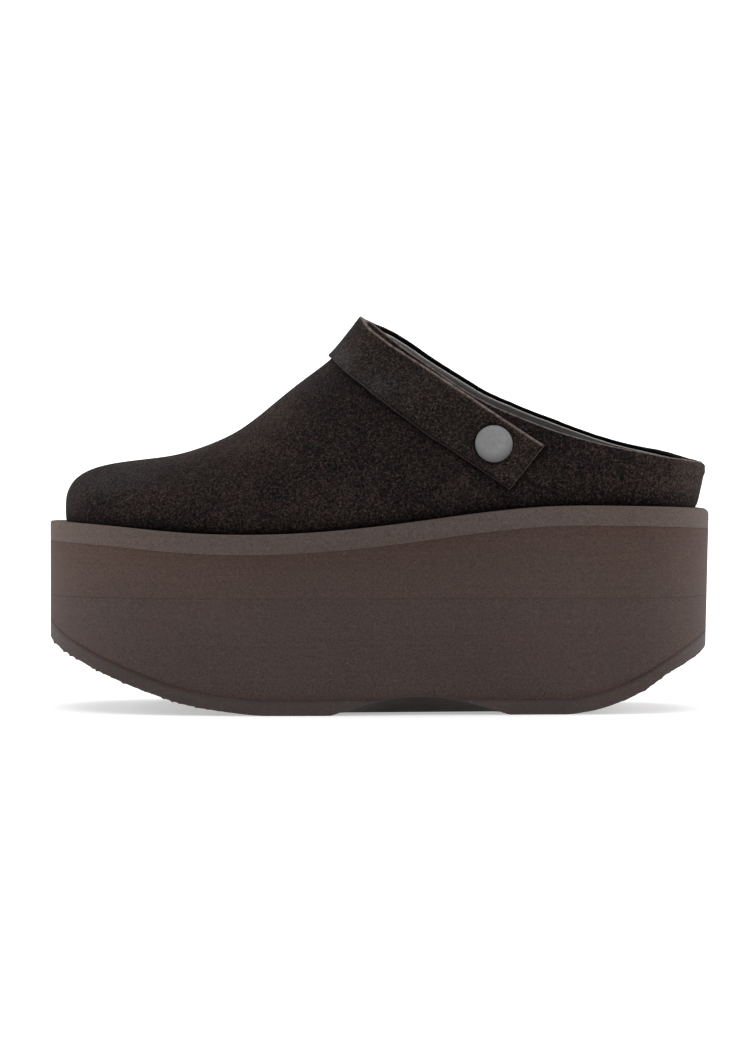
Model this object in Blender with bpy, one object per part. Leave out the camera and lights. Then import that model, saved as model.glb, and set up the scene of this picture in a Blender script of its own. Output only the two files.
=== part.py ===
"""Platform clog, left foot.

A suede clog upper with a closed toe and a low closed heel stands on a thick
flat-sided platform of stuck-together foam sheets with a rubber outsole.  A
raw-edged strap lies over the instep and is held by a domed press stud on each
side.

Frame: toe towards -X, heel towards +X, lateral side -Y, medial side +Y, up +Z.
The origin is on the floor under the middle of the whole shoe's box.
All sizes below are millimetres.
"""
import math

import bmesh
import bpy
import numpy as np

MM = 0.001

# ---------------------------------------------------------------- main sizes
SOLE_TOE_X = -135.0          # toe end of the platform
SOLE_HEEL_X = 135.0          # heel end of the platform
UPPER_TOE_X = -128.7         # toe end of the upper where it meets the platform
UPPER_HEEL_X = 129.9         # heel end of the upper where it meets the platform
LEDGE = 6.6                  # platform edge showing beside the upper
THROAT_X = -4.0              # front of the foot opening, on the ridge
WALL = 2.3                   # suede and lining together
GAP = 0.3                    # clearance between neighbouring pieces
TOP_SHEET = 8.0              # thickness of the foam sheet under the foot
GLUE_LINE_Z = 46.5           # level seam between the two thick foam blocks
OUTSOLE = 6.0                # thickness of the rubber sheet
TOE_ROUND = 54.0             # length of the rounded toe end in plan
HEEL_ROUND = 40.0            # length of the rounded heel end in plan
EDGE_ROUND = 0.9             # small rounding of the platform's top edge
SCOOP_RISE = 7.8             # height of the ground-away waist at the side
SCOOP_DEPTH = 14.0           # how far the waist scoop reaches inwards
SCOOP_X = 16.0               # middle of the scoop
SCOOP_HALF = 43.0            # half its length
INSOLE_EDGE = 4.0            # footbed thickness at the wall
INSOLE_MIDDLE = 3.2          # footbed thickness along the middle
STRAP = 2.0                  # strap thickness
STRAP_GAP = 0.55             # clearance of the strap over the curved wall
STRAP_LIFT = 1.7             # extra stand-off of the strap above the throat
STUD_X = 45.9                # press stud centre, seen from the side
STUD_Z = 107.7
STUD_DIAMETER = 15.0
STUD_RISE = 3.0
POST_DIAMETER = 3.6
HOLE_DIAMETER = 4.4
WASHER_DIAMETER = 11.0
WASHER = 1.0

# mesh fineness
SIDE_STEPS = 30              # stations from toe to heel on the platform
UPPER_AROUND = 30            # stations from toe to heel on the upper
UPPER_UP = 15                # steps from the sole to the collar
STRAP_ALONG = 32
STRAP_ACROSS = 3


def table(columns, *rows):
    names = columns.split()
    return {name: np.array([row[i] for row in rows], float)
            for i, name in enumerate(names)}


# ------------------------------------------------------------- shape tables
# Platform outline: centre line and half width of each section.
SOLE_PLAN = table("x centre_y half_width",
                  (-135, 9.0, 48.0),
                  (-105, 6.0, 48.8),
                  (-65, 1.5, 49.5),
                  (-25, -2.5, 46.5),
                  (15, -3.8, 41.4),
                  (50, -2.8, 39.0),
                  (90, -1.0, 38.9),
                  (135, -0.5, 38.6))

# Platform top: height of the upper's seat along the foot.
SOLE_TOP = table("x z",
                 (-135, 76.6),
                 (-110, 75.3),
                 (-80, 72.7),
                 (-52, 71.8),
                 (-20, 73.2),
                 (10, 76.4),
                 (40, 80.4),
                 (68, 83.0),
                 (100, 83.2),
                 (135, 82.6))

# Rocker: height of the tread above the floor, toe spring and heel bevel.
TREAD = table("x z",
              (-135.0, 29.4),
              (-131.0, 26.4),
              (-120.0, 20.5),
              (-106.0, 14.3),
              (-90.0, 8.3),
              (-76.0, 4.1),
              (-60.0, 1.4),
              (-44.0, 0.0),
              (74.0, 0.0),
              (84.0, 1.2),
              (96.0, 4.9),
              (108.0, 10.5),
              (120.0, 17.2),
              (135.0, 25.9))

# Top line of the whole upper seen from the side.  Behind the throat it is the
# imagined instep that the quarter walls would close over.
RIDGE = table("x z",
              (-128.7, 84.0),
              (-127.0, 90.4),
              (-122.5, 95.4),
              (-116.0, 98.5),
              (-106.0, 100.7),
              (-94.0, 102.1),
              (-82.0, 103.9),
              (-69.0, 108.1),
              (-57.0, 114.0),
              (-45.0, 123.0),
              (-32.0, 133.4),
              (-19.6, 143.0),
              (-4.0, 158.2),
              (12.0, 171.0),
              (34.0, 186.0),
              (70.0, 195.0),
              (129.9, 196.0))

# Section form: across (flatness of the crown), up (fullness of the wall) and
# lean (how far the ridge sits to the medial side, as a share of half width).
SECTION = table("x across up lean",
                (-128, 2.30, 2.30, 0.00),
                (-100, 2.40, 2.15, 0.10),
                (-70, 2.30, 1.90, 0.15),
                (-40, 2.10, 1.65, 0.15),
                (-5, 2.00, 1.55, 0.12),
                (35, 2.00, 1.50, 0.06),
                (130, 2.20, 1.60, 0.00))

# Foot opening: height of the collar edge on each side.
COLLAR = table("x lateral_z medial_z",
               (-4.0, 158.2, 158.2),
               (6.0, 149.6, 154.2),
               (17.0, 141.6, 147.1),
               (30.0, 132.4, 138.7),
               (46.0, 123.2, 129.3),
               (60.0, 117.2, 123.2),
               (74.0, 112.2, 117.7),
               (90.0, 107.8, 112.0),
               (106.0, 104.4, 107.4),
               (120.0, 102.0, 104.2),
               (129.9, 100.6, 100.6))

# Outward swell of the wall: side belly and heel flare.
SWELL = table("x belly flare",
              (-128, 0.0, 0.0),
              (-90, 0.9, 0.0),
              (-30, 1.3, 0.0),
              (30, 1.3, 0.0),
              (80, 0.8, 0.6),
              (105, 0.3, 2.2),
              (129, 0.0, 4.0))

# Instep strap, seen from the side: each edge runs from the ridge to its end.
STRAP_EDGES = table("ridge_x ridge_z end_x end_z sag",
                    (-19.0, 142.7, 52.6, 90.2, 1.6),
                    (-4.9, 157.1, 65.7, 106.6, 1.9))


# -------------------------------------------------------------- mathematics
def spline(xs, ys):
    """Natural cubic curve through the rows of a table."""
    xs, ys = np.asarray(xs, float), np.asarray(ys, float)
    n = len(xs)
    step = np.diff(xs)
    slope = np.diff(ys) / step
    grid = np.zeros((n, n))
    want = np.zeros(n)
    grid[0, 0] = grid[-1, -1] = 1.0
    for i in range(1, n - 1):
        grid[i, i - 1], grid[i, i], grid[i, i + 1] = step[i - 1], 2 * (step[i - 1] + step[i]), step[i]
        want[i] = 6 * (slope[i] - slope[i - 1])
    bend = np.linalg.solve(grid, want)

    def curve(x):
        x = np.clip(np.asarray(x, float), xs[0], xs[-1])
        i = np.clip(np.searchsorted(xs, x) - 1, 0, n - 2)
        a, b = xs[i + 1] - x, x - xs[i]
        return ((bend[i] * a ** 3 + bend[i + 1] * b ** 3) / (6 * step[i])
                + (ys[i] / step[i] - bend[i] * step[i] / 6) * a
                + (ys[i + 1] / step[i] - bend[i + 1] * step[i] / 6) * b)
    return curve


def steady(xs, ys):
    """Curve through the rows that never overshoots them, for level parts."""
    xs, ys = np.asarray(xs, float), np.asarray(ys, float)
    step = np.diff(xs)
    slope = np.diff(ys) / step
    lean = np.zeros(len(xs))
    for i in range(1, len(xs) - 1):
        if slope[i - 1] * slope[i] > 0:
            wa, wb = 2 * step[i] + step[i - 1], step[i] + 2 * step[i - 1]
            lean[i] = (wa + wb) / (wa / slope[i - 1] + wb / slope[i])
    lean[0], lean[-1] = slope[0], slope[-1]

    def curve(x):
        x = np.clip(np.asarray(x, float), xs[0], xs[-1])
        i = np.clip(np.searchsorted(xs, x) - 1, 0, len(xs) - 2)
        t = (x - xs[i]) / step[i]
        return ((1 + 2 * t) * (1 - t) ** 2 * ys[i] + t * (1 - t) ** 2 * step[i] * lean[i]
                + t * t * (3 - 2 * t) * ys[i + 1] - t * t * (1 - t) * step[i] * lean[i + 1])
    return curve


sole_centre = spline(SOLE_PLAN["x"], SOLE_PLAN["centre_y"])
sole_half = spline(SOLE_PLAN["x"], SOLE_PLAN["half_width"])
sole_top = spline(SOLE_TOP["x"], SOLE_TOP["z"])
tread_z = steady(TREAD["x"], TREAD["z"])
section_across = spline(SECTION["x"], SECTION["across"])
section_up = spline(SECTION["x"], SECTION["up"])
section_lean = spline(SECTION["x"], SECTION["lean"])
collar_lateral = spline(COLLAR["x"], COLLAR["lateral_z"])
collar_medial = spline(COLLAR["x"], COLLAR["medial_z"])
belly = spline(SWELL["x"], SWELL["belly"])
flare = spline(SWELL["x"], SWELL["flare"])
# The toe rises like a root of the distance, so its curve is drawn over that root.
_ridge = spline(np.sqrt(RIDGE["x"] - UPPER_TOE_X), RIDGE["z"])


def ridge_z(x):
    return _ridge(np.sqrt(np.maximum(np.asarray(x, float) - UPPER_TOE_X, 0.0)))


def rounding(x, toe, heel, toe_round, heel_round):
    a = np.clip((x - toe) / toe_round, 0, 1)
    b = np.clip((heel - x) / heel_round, 0, 1)
    return np.sqrt(1 - (1 - a) ** 2.25) * np.sqrt(1 - (1 - b) ** 2.3)


# ------------------------------------------------------------ platform plan
def plan_loop(inset, steps, squeeze=0.0):
    """Closed outline: toe tip, lateral side, heel tip, medial side."""
    toe, heel = SOLE_TOE_X + inset, SOLE_HEEL_X - inset
    toe, heel = toe + 34.0 * squeeze, heel - 24.0 * squeeze
    turn = math.pi * np.arange(steps + 1) / steps
    x = 0.5 * (toe + heel) - 0.5 * (heel - toe) * np.cos(turn)
    half = (sole_half(x) - inset) * rounding(x, toe, heel, TOE_ROUND - 0.4 * inset,
                                             HEEL_ROUND - 0.4 * inset)
    half = half * (1.0 - squeeze)
    mid = sole_centre(x)
    lateral = np.stack([x, mid - half], 1)
    medial = np.stack([x, mid + half], 1)
    return np.vstack([lateral, medial[-2:0:-1]])


def offset_loop(points, inset):
    """The same outline moved inwards by a fixed distance."""
    ahead = np.roll(points, -1, 0) - np.roll(points, 1, 0)
    length = np.linalg.norm(ahead, axis=1)[:, None]
    ahead = ahead / length
    inward = np.stack([-ahead[:, 1], ahead[:, 0]], 1)
    return points + inward * inset


def scoop(x, distance):
    """Height ground away under the waist, at a distance in from the side."""
    along = np.clip(1 - ((x - SCOOP_X) / SCOOP_HALF) ** 2, 0, 1) ** 1.55
    across = np.clip(1 - distance / SCOOP_DEPTH, 0, 1) ** 1.15
    return SCOOP_RISE * along * across


def heel_tuck(x, z):
    """The back face leans in a little towards the floor."""
    return -1.3 * np.clip((x - 100.0) / 35.0, 0, 1) ** 2 * np.clip((82.0 - z) / 56.0, 0, 1)


def slab(name, rings, top, bottom, colour, roughness, wall_top=0.0):
    """A sheet or block between two surfaces over the same outline.

    rings holds the inset of each ring of points from the edge inwards; the
    last ring closes on the middle line.  top and bottom give heights from the
    position and the distance to the edge.  wall_top rounds the upper edge.
    """
    steps = SIDE_STEPS
    count = 2 * steps
    loops = [plan_loop(r, steps) for r in rings]
    spine = plan_loop(rings[-1], steps, 0.999)
    verts, faces = [], []

    def add(points, depth, height, drop=0.0):
        z = height(points[:, 0], depth) - drop
        x = points[:, 0] + heel_tuck(points[:, 0], z)
        start = len(verts)
        verts.extend(zip(x, points[:, 1], z))
        return [start + i for i in range(len(points))]

    def band(a, b):
        # always the same diagonal, so that two sheets meet without crossing
        for i in range(count):
            j = (i + 1) % count
            for face in ((a[i], a[j], b[j]), (a[i], b[j], b[i])):
                if len(set(face)) == 3:
                    faces.append(face)

    def surface(height, flip, chamfer):
        ids = []
        if chamfer:
            ids.append(add(loops[0], 0.0, height, chamfer))
            ids.append(add(plan_loop(chamfer * 0.3, steps), 0.0, height, chamfer * 0.3))
            ids.append(add(plan_loop(chamfer, steps), 0.0, height))
            rest = range(1, len(rings))
        else:
            rest = range(len(rings))
        for k in rest:
            ids.append(add(loops[k], rings[k], height))
        middle = spine[:steps + 1].copy()
        middle[:, 1] = sole_centre(middle[:, 0])
        line = add(middle, 999.0, height)
        fold = line + line[-2:0:-1]
        keep = len(faces)
        ids.append(fold)
        for a, b in zip(ids, ids[1:]):
            band(a, b)
        if flip:
            faces[keep:] = [f[::-1] for f in faces[keep:]]
        return ids[0]

    upper = surface(top, False, wall_top)
    lower = surface(bottom, True, 0.0)
    band(lower, upper)
    return solid(name, verts, faces, colour, roughness)


def solid(name, verts, faces, colour, roughness, metallic=0.0):
    """One named closed mesh with its own material."""
    mesh = bpy.data.meshes.new(name)
    bm = bmesh.new()
    points = [bm.verts.new((x * MM, y * MM, z * MM)) for x, y, z in verts]
    for face in faces:
        if len(face) > 2:
            bm.faces.new([points[i] for i in face])
    bmesh.ops.recalc_face_normals(bm, faces=bm.faces)
    bm.to_mesh(mesh)
    bm.free()
    mesh.shade_smooth()
    mesh.set_sharp_from_angle(angle=math.radians(40))
    obj = bpy.data.objects.new(name, mesh)
    bpy.context.scene.collection.objects.link(obj)
    paint(obj, colour, roughness, metallic)
    return obj


def paint(obj, colour, roughness, metallic=0.0):
    material = bpy.data.materials.new(obj.name + "_finish")
    material.use_nodes = True
    shader = material.node_tree.nodes["Principled BSDF"]
    shader.inputs["Base Color"].default_value = (*colour, 1.0)
    shader.inputs["Roughness"].default_value = roughness
    shader.inputs["Metallic"].default_value = metallic
    material.diffuse_color = (*colour, 1.0)
    obj.data.materials.clear()
    obj.data.materials.append(material)


# ------------------------------------------------------- the upper's surface
def seat_z(x):
    return sole_top(x) + GAP


def base_half(x):
    return (sole_half(x) - LEDGE) * rounding(x, UPPER_TOE_X, UPPER_HEEL_X,
                                             TOE_ROUND - 2.0, HEEL_ROUND - 2.5)


def widths(x):
    """Ridge line and the half width to each side of it."""
    half = base_half(x)
    lean = section_lean(x)
    return sole_centre(x) + lean * half, half * (1 + lean), half * (1 - lean)


def shell_value(x, y, h):
    """Below zero inside the closed upper, above zero outside."""
    middle, lateral, medial = widths(x)
    side = np.where(y < middle, lateral, medial)
    out = (np.abs(y - middle) / np.maximum(side, 1e-6)) ** section_across(x)
    rise = np.maximum(h, 0.0) / (ridge_z(x) - seat_z(x))
    value = out + rise ** section_up(x) - 1
    beyond = (x < UPPER_TOE_X) | (x > UPPER_HEEL_X)
    return np.where(beyond, 1.0, value)


def shell_share(x, h):
    """How far out the wall stands at a height, as a share of half width."""
    rise = np.clip(h / (ridge_z(x) - seat_z(x)), 0, 1)
    return np.clip(1 - rise ** section_up(x), 0, 1) ** (1 / section_across(x))


def swell(point):
    """Belly of the sides and flare of the heel, outwards in plan."""
    x, y, h = point[..., 0], point[..., 1], point[..., 2]
    middle, lateral, medial = widths(x)
    d = 0.02
    inner = np.clip(x, UPPER_TOE_X + 0.05, UPPER_HEEL_X - 0.05)
    side = np.sign(y - middle)

    def edge(u):
        m, a, b = widths(u)
        return np.where(side < 0, m - a, m + b)
    run = (edge(inner + d) - edge(inner - d)) / (2 * d)
    # plan normal of the outline, held towards the end of the shoe at its tips
    nx, ny = -side * run, side
    tip = np.abs(y - middle) < 1e-6
    nx = np.where(tip, np.sign(x), nx)
    ny = np.where(tip, 0.0, ny)
    length = np.hypot(nx, ny)
    nx, ny = nx / length, ny / length
    out = shell_share(x, h) ** 4
    amount = (belly(x) * (h / 11.0) * np.exp(1 - h / 11.0)
              + flare(x) * np.clip(h / 17.0, 0, 1) ** 0.85) * out
    moved = point.copy()
    moved[..., 0] += nx * amount
    moved[..., 1] += ny * amount
    return moved


def cast(origin, direction, reach=3.0):
    """Where rays from inside meet the closed upper, in (x, y, height) space."""
    low = np.zeros(direction.shape[:-1])
    high = np.full(direction.shape[:-1], reach)
    for _ in range(46):
        mid = 0.5 * (low + high)
        p = origin + direction * mid[..., None]
        outside = shell_value(p[..., 0], p[..., 1], p[..., 2]) > 0
        high = np.where(outside, mid, high)
        low = np.where(outside, low, mid)
    return origin + direction * (0.5 * (low + high))[..., None]


def resample(path, shares):
    """Points at given shares of the length along each path (paths on axis 0)."""
    span = np.linalg.norm(np.diff(path, axis=1), axis=2)
    run = np.concatenate([np.zeros((len(path), 1)), np.cumsum(span, 1)], 1)
    out = np.empty((len(path), len(shares), path.shape[2]))
    for i in range(len(path)):
        for c in range(path.shape[2]):
            out[i, :, c] = np.interp(shares * run[i, -1], run[i], path[i, :, c])
    return out


def side_loops(steps, side):
    """Seat line and collar line of one side, toe or throat to heel."""
    turn = math.pi * np.linspace(0, 1, 400)
    u = 0.5 - 0.5 * np.cos(turn)
    x = UPPER_TOE_X + (UPPER_HEEL_X - UPPER_TOE_X) * u
    middle, lateral, medial = widths(x)
    y = middle - lateral if side < 0 else middle + medial
    seat = np.stack([x, y, np.zeros_like(x)], 1)
    x = THROAT_X + (UPPER_HEEL_X - THROAT_X) * u
    z = collar_lateral(x) if side < 0 else collar_medial(x)
    h = z - seat_z(x)
    share = shell_share(x, h)
    share[0] = 0.0
    middle, lateral, medial = widths(x)
    y = middle - lateral * share if side < 0 else middle + medial * share
    collar = np.stack([x, y, h], 1)
    shares = np.linspace(0, 1, steps + 1)
    return resample(seat[None], shares)[0], resample(collar[None], shares)[0]


def upper_grid(around, up, crowd=1.35):
    """Outer surface of the upper: rows go round it, columns go up it."""
    seat_a, collar_a = side_loops(around, -1)
    seat_b, collar_b = side_loops(around, 1)
    seat = np.vstack([seat_a, seat_b[-2:0:-1]])
    collar = np.vstack([collar_a, collar_b[-2:0:-1]])
    part = np.linspace(0, 1, around + 1)
    part = np.concatenate([part, part[-2:0:-1]])
    centre_x = -72.0 + 158.0 * part
    middle, _, _ = widths(centre_x)
    origin = np.stack([centre_x, middle, np.zeros_like(middle)], 1)[:, None, :]
    s = np.linspace(0, 1, 161)[None, :, None]
    direction = (seat[:, None, :] - origin) * (1 - s) + (collar[:, None, :] - origin) * s
    path = cast(origin, direction)
    path[:, 0] = seat
    path[:, -1] = collar
    path = swell(path)
    shares = np.linspace(0, 1, up + 1) ** crowd
    grid = resample(path, shares)
    grid[..., 2] += seat_z(grid[..., 0])
    return grid


def grid_normals(grid, closed):
    if closed:
        du = np.roll(grid, -1, 0) - np.roll(grid, 1, 0)
    else:
        du = np.gradient(grid, axis=0)
    dv = np.gradient(grid, axis=1)
    normal = np.cross(dv, du)
    return normal / np.linalg.norm(normal, axis=2)[..., None]


def build_upper():
    outer = upper_grid(UPPER_AROUND, UPPER_UP)
    normal = grid_normals(outer, True)
    middle = outer.mean(axis=(0, 1))
    if (normal * (outer - middle)).sum() < 0:
        normal = -normal
    normal[:, 0, 2] = 0.0
    normal[:, 0] /= np.linalg.norm(normal[:, 0], axis=1)[:, None]
    inner = outer - normal * WALL
    inner[:, 0, 2] = seat_z(inner[:, 0, 0])
    rows, cols = outer.shape[:2]
    # the cut edge of the collar is a little rounded
    crest = 0.5 * (outer[:, -1] + inner[:, -1])
    up = outer[:, -1] - outer[:, -2]
    up /= np.linalg.norm(up, axis=1)[:, None]
    outer[:, -1] -= up * 0.7
    inner[:, -1] -= up * 0.7
    verts = np.concatenate([outer.reshape(-1, 3), inner.reshape(-1, 3), crest])
    faces = []
    shift = rows * cols

    def v(i, j, inside):
        return (i % rows) * cols + j + (shift if inside else 0)
    for i in range(rows):
        for j in range(cols - 1):
            faces.append((v(i, j, 0), v(i + 1, j, 0), v(i + 1, j + 1, 0), v(i, j + 1, 0)))
            faces.append((v(i, j, 1), v(i, j + 1, 1), v(i + 1, j + 1, 1), v(i + 1, j, 1)))
        a, b = 2 * shift + i, 2 * shift + (i + 1) % rows
        faces.append((v(i, cols - 1, 0), v(i + 1, cols - 1, 0), b, a))
        faces.append((a, b, v(i + 1, cols - 1, 1), v(i, cols - 1, 1)))
        faces.append((v(i, 0, 1), v(i + 1, 0, 1), v(i + 1, 0, 0), v(i, 0, 0)))
    return solid("upper", verts, faces, (0.032, 0.025, 0.024), 0.95)


# --------------------------------------------------------------- the strap
def strap_line(across, angle):
    """Strap point on the upper's surface: across 0 low edge, 1 collar edge."""
    mix = {k: v[0] + (v[1] - v[0]) * across for k, v in STRAP_EDGES.items()}
    run_x, run_z = mix["ridge_x"] - mix["end_x"], mix["ridge_z"] - mix["end_z"]
    length = np.hypot(run_x, run_z)
    run_x, run_z = run_x / length, run_z / length
    side = np.sign(angle)
    middle_end, lateral, medial = widths(mix["end_x"])

    def place(reach):
        along = reach * np.cos(angle) * length
        y = middle_end + reach * np.sin(angle) * 40.0
        f = np.clip(along / length, 0, 1.2)
        sag = mix["sag"] * 4 * f * (1 - f)
        x = mix["end_x"] + run_x * along + run_z * sag * -1
        z = mix["end_z"] + run_z * along + run_x * sag
        # the ridge is not straight over the middle line, so shift with it
        middle, _, _ = widths(x)
        y = y - middle_end + middle
        return x, y, z
    low = np.zeros_like(angle)
    high = np.full_like(angle, 2.5)
    for _ in range(46):
        mid = 0.5 * (low + high)
        x, y, z = place(mid)
        outside = shell_value(x, y, z - seat_z(x)) > 0
        high = np.where(outside, mid, high)
        low = np.where(outside, low, mid)
    x, y, z = place(0.5 * (low + high))
    point = swell(np.stack([x, y, z - seat_z(x)], -1))
    point[..., 2] += seat_z(point[..., 0])
    return point, side


def strap_grid(along, across):
    angle = np.linspace(-0.5 * math.pi, 0.5 * math.pi, 241)
    rows = []
    for c in np.linspace(0, 1, across + 1):
        point, _ = strap_line(np.full_like(angle, c), angle)
        rows.append(point)
    rows = resample(np.stack(rows), np.linspace(0, 1, along + 1))
    grid = rows.transpose(1, 0, 2)
    normal = grid_normals(grid, False)
    middle = np.array([25.0, 0.0, 100.0])
    if (normal * (grid - middle)).sum() < 0:
        normal = -normal
    part = np.linspace(-1, 1, along + 1)[:, None]
    c = np.linspace(0, 1, across + 1)[None, :]
    lift = STRAP_GAP + STRAP_LIFT * c ** 1.4 * np.exp(-(part / 0.42) ** 2)
    under = grid + normal * lift[..., None]
    over = under + normal * STRAP
    return under, over


def build_strap():
    under, over = strap_grid(STRAP_ALONG, STRAP_ACROSS)
    rows, cols = under.shape[:2]
    verts = np.concatenate([under.reshape(-1, 3), over.reshape(-1, 3)])
    shift = rows * cols
    faces = []

    def v(i, j, top):
        return i * cols + j + (shift if top else 0)
    for i in range(rows - 1):
        for j in range(cols - 1):
            faces.append((v(i, j, 0), v(i + 1, j, 0), v(i + 1, j + 1, 0), v(i, j + 1, 0)))
            faces.append((v(i, j, 1), v(i, j + 1, 1), v(i + 1, j + 1, 1), v(i + 1, j, 1)))
        faces.append((v(i, 0, 0), v(i, 0, 1), v(i + 1, 0, 1), v(i + 1, 0, 0)))
        faces.append((v(i, cols - 1, 0), v(i + 1, cols - 1, 0), v(i + 1, cols - 1, 1), v(i, cols - 1, 1)))
    for j in range(cols - 1):
        faces.append((v(0, j, 0), v(0, j + 1, 0), v(0, j + 1, 1), v(0, j, 1)))
        faces.append((v(rows - 1, j, 0), v(rows - 1, j, 1), v(rows - 1, j + 1, 1), v(rows - 1, j + 1, 0)))
    return solid("strap", verts, faces, (0.036, 0.028, 0.027), 0.95)


# ---------------------------------------------------------- the press studs
def wall_point(x, z, side):
    """Point of the upper's outer surface seen from the side at (x, z)."""
    x, h = np.asarray(x, float), np.asarray(z, float) - seat_z(x)
    middle, lateral, medial = widths(x)
    share = shell_share(x, h)
    y = np.where(side < 0, middle - lateral * share, middle + medial * share)
    point = swell(np.stack([x, y, h], -1))
    point[..., 2] += seat_z(point[..., 0])
    return point


def stud_frame(side):
    """Centre on the upper's surface and outward direction at a stud."""
    d = 1.0
    centre = wall_point(STUD_X, STUD_Z, side)
    dx = wall_point(STUD_X + d, STUD_Z, side) - wall_point(STUD_X - d, STUD_Z, side)
    dz = wall_point(STUD_X, STUD_Z + d, side) - wall_point(STUD_X, STUD_Z - d, side)
    out = np.cross(dx, dz)
    out /= np.linalg.norm(out)
    if out[1] * side < 0:
        out = -out
    return centre, out


def turned(name, profile, side, colour, roughness, metallic, steps=24):
    """A round piece turned about the stud's axis from (radius, height) rows."""
    centre, out = stud_frame(side)
    ref = np.array([1.0, 0.0, 0.0])
    u = np.cross(out, ref)
    u /= np.linalg.norm(u)
    w = np.cross(out, u)
    verts, faces, rings = [], [], []
    for radius, height in profile:
        base = centre + out * height
        if radius == 0:
            rings.append([len(verts)] * steps)
            verts.append(tuple(base))
            continue
        rings.append([len(verts) + i for i in range(steps)])
        for i in range(steps):
            a = 2 * math.pi * i / steps
            verts.append(tuple(base + radius * (math.cos(a) * u + math.sin(a) * w)))
    closed = profile[0][0] != 0
    pairs = list(zip(rings, rings[1:])) + ([(rings[-1], rings[0])] if closed else [])
    for a, b in pairs:
        for i in range(steps):
            j = (i + 1) % steps
            face = tuple(dict.fromkeys((a[i], a[j], b[j], b[i])))
            if len(face) > 2:
                faces.append(face)
    return solid(name, verts, faces, colour, roughness, metallic)


def build_studs():
    under = STRAP_GAP + STRAP + 0.45           # clears the curved face of the strap
    inner = -(WALL + 0.45)
    radius = 0.5 * STUD_DIAMETER
    post = 0.5 * POST_DIAMETER
    for side, word in ((-1, "lateral"), (1, "medial")):
        dome = [(0, under + STUD_RISE)]
        for k in range(1, 5):
            a = 0.5 * math.pi * k / 5
            dome.append((radius * math.sin(a) ** 0.9, under + 0.7 + (STUD_RISE - 0.7) * math.cos(a) ** 1.3))
        dome += [(radius, under + 0.7), (radius, under + 0.25), (radius - 0.3, under),
                 (post, under), (post, inner - WASHER - 0.6), (0, inner - WASHER - 0.6)]
        turned("stud_cap_" + word, dome, side, (0.16, 0.16, 0.16), 0.5, 0.0)
        ring = [(post + GAP, inner), (0.5 * WASHER_DIAMETER, inner),
                (0.5 * WASHER_DIAMETER, inner - WASHER + 0.3),
                (0.5 * WASHER_DIAMETER - 0.5, inner - WASHER), (post + GAP, inner - WASHER)]
        turned("stud_washer_" + word, ring, side, (0.16, 0.16, 0.16), 0.5, 0.2)
        drill = turned("hole_" + word, [(0, 12.0), (0.5 * HOLE_DIAMETER, 12.0),
                                        (0.5 * HOLE_DIAMETER, -9.0), (0, -9.0)],
                       side, (0.5, 0.5, 0.5), 0.5, 0.0, 16)
        drill.hide_render = True
        drill.display_type = 'WIRE'
        for name in ("upper", "strap"):
            cut = bpy.data.objects[name].modifiers.new("hole_" + word, 'BOOLEAN')
            cut.operation = 'DIFFERENCE'
            cut.solver = 'EXACT'
            cut.object = drill


# ----------------------------------------------------------- platform parts
def outsole_top(x):
    """The rubber sheet keeps its thickness square to the rocker."""
    slope = (tread_z(x + 0.5) - tread_z(x - 0.5)) / 1.0
    return tread_z(x) + OUTSOLE * np.sqrt(1 + slope ** 2)


def build_platform():
    foam, rubber = (0.078, 0.058, 0.050), (0.052, 0.038, 0.034)
    slab("midsole_top", (0.0, 9.0, 20.0),
         lambda x, d: sole_top(x),
         lambda x, d: sole_top(x) - TOP_SHEET, foam, 0.9, EDGE_ROUND)
    slab("midsole_upper", (0.0, 9.0, 20.0),
         lambda x, d: sole_top(x) - TOP_SHEET - GAP,
         lambda x, d: np.full_like(x, GLUE_LINE_Z + 0.5 * GAP), foam, 0.9)
    inward = (0.0, 3.5, 7.5, SCOOP_DEPTH)
    slab("midsole_lower", inward,
         lambda x, d: np.full_like(x, GLUE_LINE_Z - 0.5 * GAP),
         lambda x, d: np.maximum(outsole_top(x) + GAP, scoop(x, d) + GAP), foam, 0.9)
    # the sheet thins to a feather edge where the scoop breaks through it
    slab("outsole", inward,
         lambda x, d: outsole_top(x),
         lambda x, d: np.minimum(np.maximum(tread_z(x), scoop(x, d)),
                                 outsole_top(x) - 0.35), rubber, 0.85)


def build_insole():
    seat_a, _ = side_loops(SIDE_STEPS, -1)
    seat_b, _ = side_loops(SIDE_STEPS, 1)
    edge = np.vstack([seat_a, seat_b[-2:0:-1]])[:, :2]
    count = len(edge)
    rings = [offset_loop(edge, WALL + 0.5), offset_loop(edge, WALL + 7.0), offset_loop(edge, WALL + 17.0)]
    line_x = rings[-1][:SIDE_STEPS + 1, 0] * 0.97
    line = np.stack([line_x, sole_centre(line_x)], 1)
    thick = (INSOLE_EDGE, INSOLE_EDGE - 0.3, INSOLE_MIDDLE + 0.1, INSOLE_MIDDLE)
    verts, faces = [], []

    def surface(lift, flip):
        ids = []
        for k, ring in enumerate(rings):
            ids.append([len(verts) + i for i in range(count)])
            z = seat_z(ring[:, 0]) + 0.1 + lift * thick[k]
            verts.extend(zip(ring[:, 0], ring[:, 1], z))
        middle = [len(verts) + i for i in range(len(line))]
        verts.extend(zip(line[:, 0], line[:, 1], seat_z(line[:, 0]) + 0.1 + lift * thick[3]))
        fold = middle + middle[-2:0:-1]
        ids.append(fold)
        for a, b in zip(ids, ids[1:]):
            for i in range(count):
                j = (i + 1) % count
                for face in ((a[i], a[j], b[j]), (a[i], b[j], b[i])):
                    if len(set(face)) == 3:
                        faces.append(face[::-1] if flip else face)
        return ids[0]
    top, bottom = surface(1.0, False), surface(0.0, True)
    for i in range(count):
        j = (i + 1) % count
        faces.append((bottom[i], bottom[j], top[j], top[i]))
    return solid("insole", verts, faces, (0.10, 0.09, 0.085), 0.7)


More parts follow.
